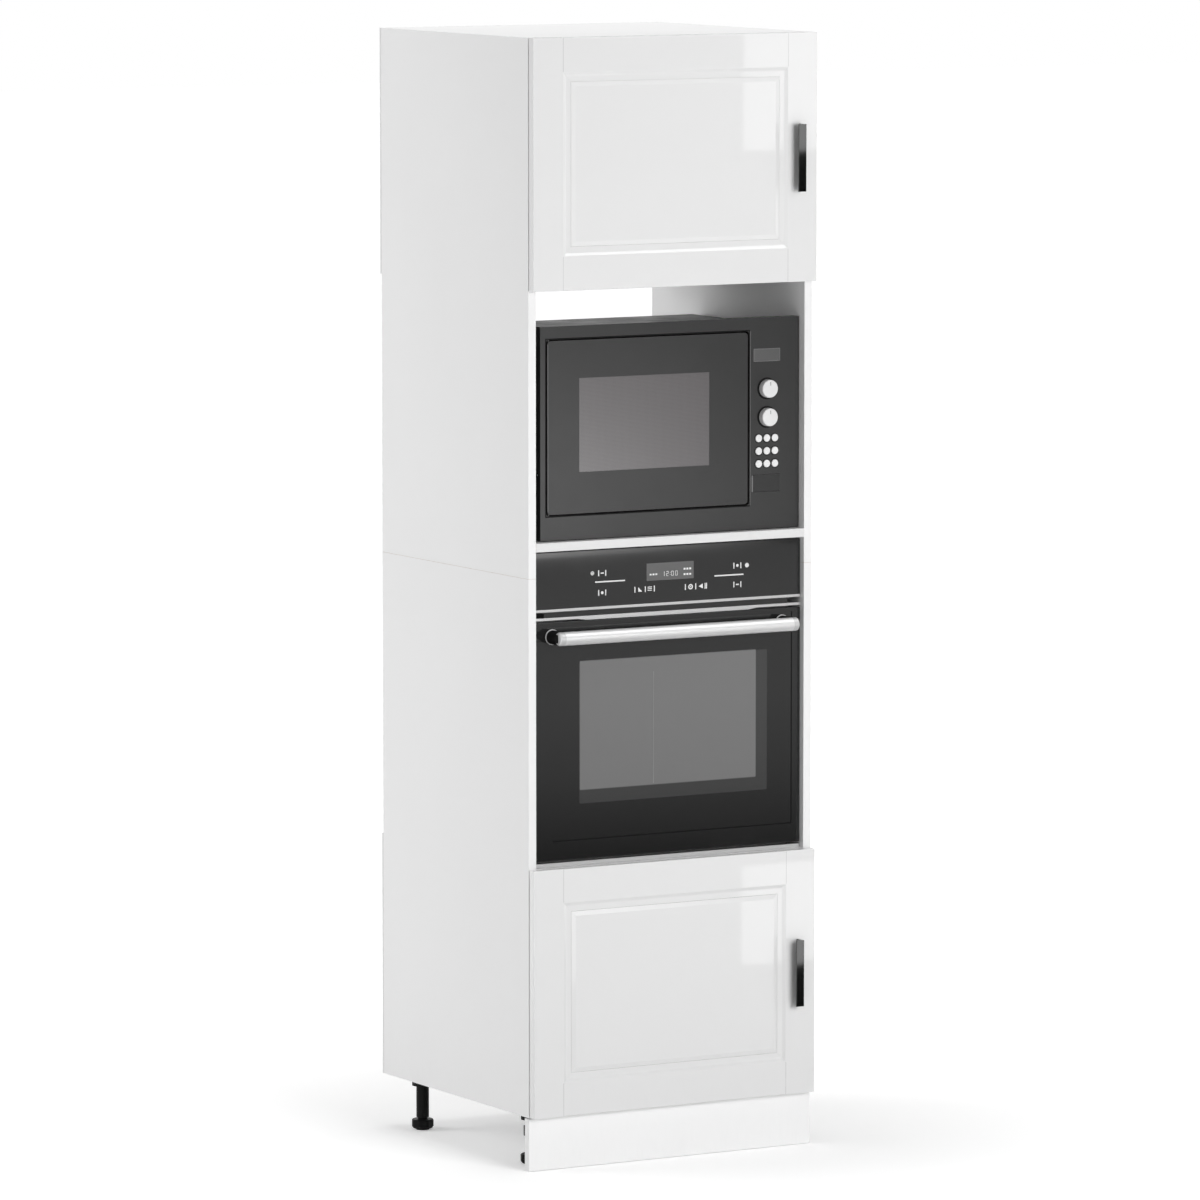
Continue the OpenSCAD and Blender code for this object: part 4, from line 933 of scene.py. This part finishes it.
def board(node_name, lined, ease=0.0005):
    """A facing-covered board; lined says which finish each direction's face has."""
    low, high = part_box(node_name)
    order = sorted(set(lined.values()))
    bm = bmesh.new()
    add_box(bm, low, high, ease)
    bm.normal_update()
    ways = [(Vector(way), finish) for way, finish in lined.items()]
    for f in bm.faces:
        best = max(ways, key=lambda pair: f.normal.dot(pair[0]))
        f.material_index = order.index(best[1])
    piece("board_" + node_name, bm, order, "cabinet", (node_name,))


def lined(flat, ends, front="edge_band", back="raw_chipboard"):
    ways = {FRONT: front, BACK: back}
    for way in (LEFT, RIGHT, UP, DOWN):
        ways[way] = "white_board" if way in flat else ends
    return ways


for side in ("left_side", "right_side"):
    lower = lined((LEFT, RIGHT), "raw_chipboard")
    upper = dict(lower)
    lower[DOWN] = upper[UP] = "edge_band"
    board(side + "_lower", lower)
    board(side + "_upper", upper)
for shelf in ("top_panel", "upper_cupboard_floor", "middle_shelf", "oven_shelf", "bottom_panel"):
    board(shelf, lined((UP, DOWN), "raw_chipboard", "shelf_edge"))
board("plinth_board", dict.fromkeys((FRONT, BACK, LEFT, RIGHT, UP, DOWN), "plinth_white"),
      0.0008)
eased_copy("back_boards", "back_panels", 0.0004)

# Screws that hold the back boards, and the sleeves of the shelf pins inside the cupboards
back_low, back_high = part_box("back_panels")
back_y = back_high.y
rows = []
for z0, z1 in ((0.104, 0.556), (1.617, 2.066)):
    for i in range(5):
        z = z0 + (z1 - z0) * (i + 0.5) / 5
        rows += [(-0.291, back_y, z), (0.291, back_y, z)]
    for x in (-0.19, -0.06, 0.06, 0.19):
        rows += [(x, back_y, z0 + 0.004), (x, back_y, z1 - 0.004)]
screws("back_board_screws", rows, "cabinet", BACK, 0.0034, 0.0014, 0.001, 4)
for way, x in ((1, -0.284), (-1, 0.284)):
    holes = [local(0, y, z) for y in (60, 500) for z0 in (116, 1628) for z in
             [z0 + 110 + 32 * i for i in range(7)]]
    grown("shelf_pin_sleeves_left" if way > 0 else "shelf_pin_sleeves_right", SLEEVES,
          [(x, p.y, p.z) for p in holes], "white_plastic", "cabinet", "white_plastic",
          Facing=(way, 0, 0), Outer_Radius=0.0028, Rim_Height=0.0005)


# Cupboard doors

for which in ("upper", "lower"):
    eased_copy(which + "_pull", which + "_door_handle", 0.0004)


def door_joints(which, z0):
    """Fine joint lines where a cupboard door's rails meet its stiles."""
    bm = bmesh.new()
    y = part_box(which + "_door_frame")[0].y
    for x in (-0.237, 0.237):
        for low, high in ((z0 + 0.0008, z0 + 0.0615), (z0 + 0.3955, z0 + 0.4562)):
            add_box(bm, (x - 0.00055, y - 0.00004, low), (x + 0.00055, y + 0.0004, high), 0)
    piece(which + "_door_joints", bm, ["door_joint"], which + "_door")


door_joints("lower", 0.1005)
door_joints("upper", 1.6125)

# Screws of the hinges: two in each mounting plate, two in each cup's flange
door_h = 0.457
for which, z0 in (("lower", 0.1005), ("upper", 1.6125)):
    middles = (z0 + 0.09, z0 + door_h - 0.09)
    screws(which + "_plate_screws",
           [(-0.282, CARCASS_FRONT_Y + 0.037, z + s * 0.0175) for z in middles for s in (-1, 1)],
           "cabinet", RIGHT, 0.0035, 0.0016, 0.0011, 7)
    cup_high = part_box(which + "_hinge_cups")[1]
    screws(which + "_cup_screws",
           [(-0.2745, cup_high.y - 0.0006, z + s * 0.023) for z in middles for s in (-1, 1)],
           which + "_door", BACK, 0.0024, 0.0012, 0.0009, 9)


# Oven

GLASS_Y = local(0, 12, 0).y
MARK_TOP, MARK_ROOT = 0.00006, 0.00001


def touch_panel():
    """Glass plate of the control panel with its touch marks and display."""
    bm = merged_copy("oven_control_panel")
    rim = [e for e in sharp_edges(bm, 1) if all(v.co.y < GLASS_Y + 0.0001 for v in e.verts)]
    ease_edges(bm, rim, 0.0006, clamp=False)
    piece("control_glass", bm, ["black_glass"], "cabinet", ("oven_control_panel",))


def mark_plate(bm, points, y=GLASS_Y):
    """A printed mark with that outline in millimetres, a hair above the glass at y."""
    add_outline(bm, [(x * MM, z * MM) for x, z in points], y - MARK_TOP, y - MARK_ROOT)


def mark_bar(bm, x0, x1, z0, z1, y=GLASS_Y):
    mark_plate(bm, [(x0, z0), (x0, z1), (x1, z1), (x1, z0)], y)


def mark_disc(bm, x, z, r, inner=0.0):
    """A dot, or a ring where it has an inner radius."""
    n = 20
    spots = [(math.cos(-2 * math.pi * i / n), math.sin(-2 * math.pi * i / n)) for i in range(n)]
    if not inner:
        mark_plate(bm, [(x + r * c, z + r * s) for c, s in spots])
        return
    for i in range(n):
        j = (i + 1) % n
        quad = [(inner, i), (r, i), (r, j), (inner, j)]
        mark_plate(bm, [(x + k * spots[m][0], z + k * spots[m][1]) for k, m in quad])


def plus_or_less(bm, x, z, dot=False):
    """A touch field between two upright marks."""
    for s in (-1, 1):
        mark_bar(bm, x + s * 7.4 - 1.1, x + s * 7.4 + 1.1, z - 5.4, z + 5.4)
    if dot:
        mark_disc(bm, x, z, 2.8)
    else:
        mark_bar(bm, x - 3.2, x + 3.2, z - 1.1, z + 1.1)


def touch_marks():
    bm = bmesh.new()
    mark_disc(bm, -159.5, 1092.5, 3.6, 2.2)
    mark_disc(bm, -159.5, 1092.5, 1.2)
    plus_or_less(bm, -139, 1092)
    mark_bar(bm, -154, -91, 1074.9, 1077.3)
    plus_or_less(bm, -139, 1056, True)
    for x in (-70, -48, -29):
        mark_bar(bm, x - 1.0, x + 1.0, 1052.2, 1063)
    mark_plate(bm, [(-63, 1053.6), (-63, 1062), (-55, 1053.6)])
    for z in (1055, 1058, 1061):
        mark_bar(bm, -43, -34, z - 0.7, z + 0.7)
    for x in (37, 59, 79, 82):
        mark_bar(bm, x - 1.0, x + 1.0, 1051.6, 1062.4)
    mark_disc(bm, 48, 1057, 4.9, 2.8)
    mark_disc(bm, 48, 1057, 1.3)
    mark_plate(bm, [(65, 1057), (74, 1061.4), (74, 1052.6)])
    mark_bar(bm, 99, 161, 1072.9, 1075.3)
    plus_or_less(bm, 148, 1091, True)
    mark_disc(bm, 168.5, 1090.5, 4.2)
    plus_or_less(bm, 148, 1056)
    piece("panel_touch_marks", bm, ["panel_marks"], "cabinet")


SEGMENTS = {"a": (-2, 2, 3.6, 4.4), "b": (1.6, 2.4, 0.2, 4.2), "c": (1.6, 2.4, -4.2, -0.2),
            "d": (-2, 2, -4.4, -3.6), "e": (-2.4, -1.6, -4.2, -0.2), "f": (-2.4, -1.6, 0.2, 4.2),
            "g": (-2, 2, -0.4, 0.4)}
DIGITS = {"0": "abcdef", "1": "bc", "2": "abged"}


def panel_display():
    """Display of the control panel: a grey lens with a thin rim and a clock in bar digits."""
    bm = bmesh.new()
    add_box(bm, (-0.0455, GLASS_Y - 0.00035, 1.0725), (0.0545, GLASS_Y - 0.00001, 1.1045), 0.00015, 1)
    piece("panel_display_lens", bm, ["panel_display"], "cabinet")
    bm = bmesh.new()
    y = GLASS_Y - 0.00035
    for k, digit in enumerate("1200"):
        x = -10 + 8.4 * k + (2.5 if k > 1 else 0)
        for bar in DIGITS[digit]:
            x0, x1, z0, z1 = SEGMENTS[bar]
            mark_bar(bm, x + x0, x + x1, 1084 + z0, 1084 + z1, y)
    for z in (1082.2, 1085.8):
        mark_bar(bm, 4.0, 5.0, z - 0.5, z + 0.5, y)
    for k in range(3):
        mark_bar(bm, -39 + 6 * k, -35 + 6 * k, 1083 - 0.6, 1083 + 2.4, y)
        mark_bar(bm, 33 + 6 * k, 37 + 6 * k, 1080 - 0.8, 1080 + 2.6, y)
        mark_bar(bm, 33 + 6 * k, 37 + 6 * k, 1090 - 0.8, 1090 + 2.6, y)
    piece("panel_display_figures", bm, ["panel_marks"], "cabinet")


touch_panel()
touch_marks()
panel_display()
eased_copy("trim_strips", "oven_trim", 0.0005)


def door_pane():
    """Outer and inner pane of the oven door; the outer one's front edge is ground."""
    bm = merged_copy("oven_door_glass")
    ease_edges(bm, sharp_edges(bm, 1), 0.0007, clamp=False)
    piece("door_panes", bm, ["oven_door_glass"], "oven_door", ("oven_door_glass",))
    # Dark joint line in the glass, along the right and the bottom, and the seam in the view through it
    bm = bmesh.new()
    mark_bar(bm, 263.6, 266, 605.8, 1000)
    mark_bar(bm, -243, 266, 603.4, 605.8)
    piece("door_joint_line", bm, ["black_ring"], "oven_door")
    bm = bmesh.new()
    mark_bar(bm, -31.4, -29.4, 699, 905)
    piece("door_view_seam", bm, ["door_seam"], "oven_door")


door_pane()


def door_handle():
    """Brushed bar with grooved end caps, on black posts that stand on bright discs."""
    low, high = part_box("oven_door_handle")
    radius = 0.0125
    z = (low.z + high.z) / 2
    half = 0.253
    axis_y = GLASS_Y - 0.038
    cap = 0.011
    end_r = 0.003
    bm = bmesh.new()
    shape, bands = [], []

    def ring(along, r, band):
        shape.append((along, r))
        bands.append(band)

    ring(-half, 0.0, 1)
    for i in range(5):
        a = math.radians(90 * i / 4)
        ring(-half + end_r - end_r * math.cos(a), radius - end_r + end_r * math.sin(a), 1)
    grooves = 5
    start, stop = -half + end_r + 0.0006, -half + cap - 0.0008
    for i in range(grooves):
        x = start + (stop - start) * i / (grooves - 1)
        ring(x - 0.00025, radius, 1)
        ring(x, radius - 0.0003, 1)
        ring(x + 0.00025, radius, 1)
    ring(-half + cap - 0.0002, radius, 1)
    ring(-half + cap, radius - 0.0005, 0)
    ring(-half + cap + 0.0004, radius, 0)
    mirrored = [(-along, r) for along, r in reversed(shape)]
    back_bands = list(reversed(bands))
    full = shape + mirrored
    full_bands = bands[:-1] + [0] + back_bands[1:] + [1]
    add_lathe(bm, full, (0, axis_y, z), RIGHT, 64, full_bands)
    piece("handle_bar", bm, ["handle_bar", "handle_cap"], "oven_door", ("oven_door_handle",))
    bm = bmesh.new()
    for x in (-0.244, 0.244):
        post = [(0.0, 0.0), (0.0, 0.0118), (0.012, 0.0118), (0.0135, 0.0128), (0.0364, 0.0128), (0.0364, 0.0)]
        add_lathe(bm, post, (x, axis_y, z), BACK, 40)
    piece("handle_posts", bm, ["black_ring"], "oven_door")
    bm = bmesh.new()
    for x in (-0.244, 0.244):
        add_lathe(bm, [(0.0, 0.0126), (0.0, 0.0138), (0.0005, 0.0143), (0.0015, 0.0143), (0.0015, 0.0126)],
                  (x, GLASS_Y - 0.0015, z), BACK, 48)
    piece("handle_discs", bm, ["steel_trim"], "oven_door")


door_handle()

# Screws in the back of the oven's casing
low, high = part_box("oven_casing")
heights = (low.z + 0.02, low.z + 0.19, high.z - 0.19, high.z - 0.02)
rows = [(x, high.y, z) for x in (-0.262, 0.262) for z in heights]
rows += [(x, high.y, z) for x in (-0.13, 0.0, 0.13) for z in (low.z + 0.02, high.z - 0.02)]
screws("oven_casing_screws", rows, "cabinet", BACK, 0.0038, 0.0018, 0.0012, 12)


# Microwave oven

def flank_shade_pick(face):
    """The frame's outer flanks are painted matt black: painted shade for the side faces that stand in shadow in
    the gaps beside the microwave.
    """
    return 1 if abs(face.normal.x) > 0.9 and abs(face.calc_center_median().x - 0.009) > 0.2735 else 0


# The matt black on the frame's outer flanks is painted shade.
eased_copy("microwave_front", "microwave_front_frame", 0.0007, ["microwave_plastic", "black_ring"],
           flank_shade_pick)
screws("frame_flank_screws", [(-0.265, -0.236, 1.276)], "cabinet", LEFT, 0.0026, 0.0012, 0.0008, 17)
eased_copy("microwave_door", "microwave_door_frame", 0.0008)
eased_copy("release_button_cap", "microwave_release_button", 0.0006, ["button_plastic"])

FACE_Y = local(0, 18, 0).y
CONTROLS_X = 0.2138


def button_edge():
    """Light strip painted in the gap left of the release button: a painted highlight where the moulding catches
    the light.
    """
    low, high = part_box("microwave_release_button")
    bm = bmesh.new()
    add_box(bm, (low.x - 0.0042, FACE_Y - 0.0004, low.z + 0.0005),
            (low.x - 0.0006, FACE_Y + 0.0005, high.z - 0.001), 0.0003, 2)
    piece("button_edge_highlight", bm, ["edge_strip"], "cabinet")


def clock_display():
    """Clock window of the microwave: a lens in a thin bevelled rim of lighter grey, which is a painted
    highlight on the bevels.
    """
    x0, x1 = CONTROLS_X - 0.0285, CONTROLS_X + 0.0285
    z0, z1 = 1.465, 1.489
    bm = bmesh.new()
    inset = 0.0012
    add_box(bm, (x0 + inset, FACE_Y - 0.00025, z0 + inset),
            (x1 - inset, FACE_Y + 0.0004, z1 - inset), 0.0002, 1)
    piece("clock_lens", bm, ["display_lens"], "cabinet")
    # The rim's lighter grey is a painted highlight.
    bm = bmesh.new()
    rim = 0.0014
    for a, b in (((x0, z0), (x1, z0 + rim)), ((x0, z1 - rim), (x1, z1)), ((x0, z0 + rim), (x0 + rim, z1 - rim)),
                 ((x1 - rim, z0 + rim), (x1, z1 - rim))):
        add_box(bm, (a[0], FACE_Y - 0.0006, a[1]), (b[0], FACE_Y + 0.0004, b[1]), 0.0003, 2)
    piece("clock_highlight_rim", bm, ["edge_strip"], "cabinet")


def knob(name, node_name, body):
    """White turning knob: a domed cap with a pointer groove; the dark ring round it in the face, a painted
    shadow, is a piece of its own.
    """
    low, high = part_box(node_name)
    z = (low.z + high.z) / 2
    r = 0.017
    front, back = low.y, FACE_Y - 0.0005
    bm = bmesh.new()
    depth = back - front
    profile = [(0.0, 0.0), (0.0, r * 0.55), (0.0004, r * 0.8)]
    for i in range(5):
        a = math.radians(22.5 * i)
        profile.append((0.0006 + 0.0024 * (1 - math.cos(a)), r - 0.0024 * (1 - math.sin(a)) - 0.0004))
    profile += [(depth - 0.0012, r), (depth - 0.0006, r - 0.0006), (depth - 0.0006, r - 0.003),
                (depth, r - 0.003), (depth, 0.003), (depth + 0.0158, 0.003), (depth + 0.0158, 0.0)]
    add_lathe(bm, profile, (CONTROLS_X, front, z), BACK, 56)
    piece(name, bm, ["silver_plastic"], body, (node_name,))
    bm = bmesh.new()
    add_box(bm, (CONTROLS_X - 0.0007, front - 0.00015, z + r * 0.36),
            (CONTROLS_X + 0.0007, front + 0.0003, z + r * 0.74), 0.0001, 1)
    piece(name + "_pointer", bm, ["knob_pointer"], body)


def knob_shadow_rings():
    """Dark rings in the face round the knobs and keys: painted shadow in the gaps round them."""
    bm = bmesh.new()
    for node_name in ("microwave_power_knob", "microwave_timer_knob"):
        low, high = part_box(node_name)
        z = (low.z + high.z) / 2
        add_lathe(bm, [(0.0, 0.0175), (0.0, 0.0198), (0.0003, 0.0202), (0.0005, 0.0202), (0.0005, 0.0175)],
                  (CONTROLS_X, FACE_Y - 0.0004, z), BACK, 48)
    for n in range(1, 10):
        low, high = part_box("microwave_key_%d" % n)
        centre = (low + high) / 2
        add_lathe(bm, [(0.0, 0.0072), (0.0, 0.0086), (0.0004, 0.0086), (0.0004, 0.0072)],
                  (centre.x, FACE_Y - 0.0003, centre.z), BACK, 32)
    piece("control_shadow_rings", bm, ["black_ring"], "cabinet")


def door_gap():
    """Black rim in the microwave's face round the gap of the door, as painted shade in the gap; beside it,
    painted highlights on the gap's right edge and the door's left edge.
    """
    x0, x1, z0, z1 = -0.2526, 0.1756, 1.2004, 1.5221
    rim = 0.0022
    bm = bmesh.new()
    for a, b in (((x0 - rim, z0 - rim), (x1 + rim, z0)), ((x0 - rim, z1), (x1 + rim, z1 + rim)),
                 ((x0 - rim, z0), (x0, z1)), ((x1, z0), (x1 + rim, z1))):
        add_box(bm, (a[0], FACE_Y - 0.0001, a[1]), (b[0], FACE_Y + 0.0004, b[1]), 0)
    piece("door_gap_rim", bm, ["black_ring"], "cabinet")
    # Painted highlight: a light strip along the right edge of the gap, where the frame's edge catches the
    # light.
    bm = bmesh.new()
    add_box(bm, (x1 + rim, FACE_Y - 0.0003, z0), (x1 + rim + 0.0012, FACE_Y + 0.0003, z1), 0)
    piece("door_gap_edge", bm, ["edge_strip"], "cabinet")
    # Painted highlight: a light line along the door's left edge, standing in for the light its rounded edge
    # catches.
    low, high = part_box("microwave_door_frame")
    bm = bmesh.new()
    add_box(bm, (low.x + 0.0002, low.y - 0.00005, low.z + 0.006),
            (low.x + 0.0016, low.y + 0.0004, high.z - 0.006), 0)
    piece("door_left_edge", bm, ["edge_strip"], "microwave_door")


door_gap()
button_edge()
clock_display()
knob("power_knob_cap", "microwave_power_knob", "power_knob")
knob("timer_knob_cap", "microwave_timer_knob", "timer_knob")
knob_shadow_rings()

# Screws in the back of the microwave's casing
low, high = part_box("microwave_casing")
rows = [(x, high.y, z) for x in (low.x + 0.012, 0.0, high.x - 0.012) for z in (low.z + 0.018, high.z - 0.01)]
rows += [(x, high.y, (low.z + high.z) / 2) for x in (low.x + 0.012, high.x - 0.012)]
screws("microwave_back_screws", rows, "cabinet", BACK, 0.0036, 0.0017, 0.0011, 15)


def glass_turntable():
    """Pressed glass plate with low rings under it and a drive hub."""
    low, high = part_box("turntable_plate")
    x, y = (low.x + high.x) / 2, (low.y + high.y) / 2
    z = high.z - 0.011
    r = (high.x - low.x) / 2
    bm = bmesh.new()
    profile = [(0.0, 0.0), (0.0, 0.018)]
    for k in range(3):
        at = r * (0.3 + 0.17 * k)
        profile += [(0.0, at - 0.004), (-0.0009, at - 0.0015), (-0.0009, at + 0.0015), (0.0, at + 0.004)]
    profile += [(0.0, r * 0.86), (0.0045, r * 0.93), (0.009, r * 0.995), (0.0104, r), (0.011, r * 0.995),
                (0.0105, r * 0.98), (0.0075, r * 0.92), (0.004, r * 0.84), (0.004, 0.0)]
    add_lathe(bm, profile, (x, y, z), UP, 96)
    piece("turntable_glass", bm, ["clear_glass"], "turntable", ("turntable_plate",))
    bm = bmesh.new()
    add_lathe(bm, [(low.z - z, 0.0), (low.z - z, 0.0035), (low.z - z + 0.0006, 0.004), (-0.0082, 0.004),
                   (-0.0082, 0.0135), (-0.0076, 0.014), (-0.0008, 0.014), (-0.0001, 0.0134), (-0.0001, 0.0)],
              (x, y, z), UP, 40)
    piece("turntable_hub", bm, ["white_plastic"], "turntable")


glass_turntable()


# Finishes of the pieces that keep their shape

for node in frame["nodes"].values():
    for i, worn in enumerate(node.material_slots):
        node.material_slots[i].material = FINISH[worn.material.name.split(".")[0]]

low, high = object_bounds()
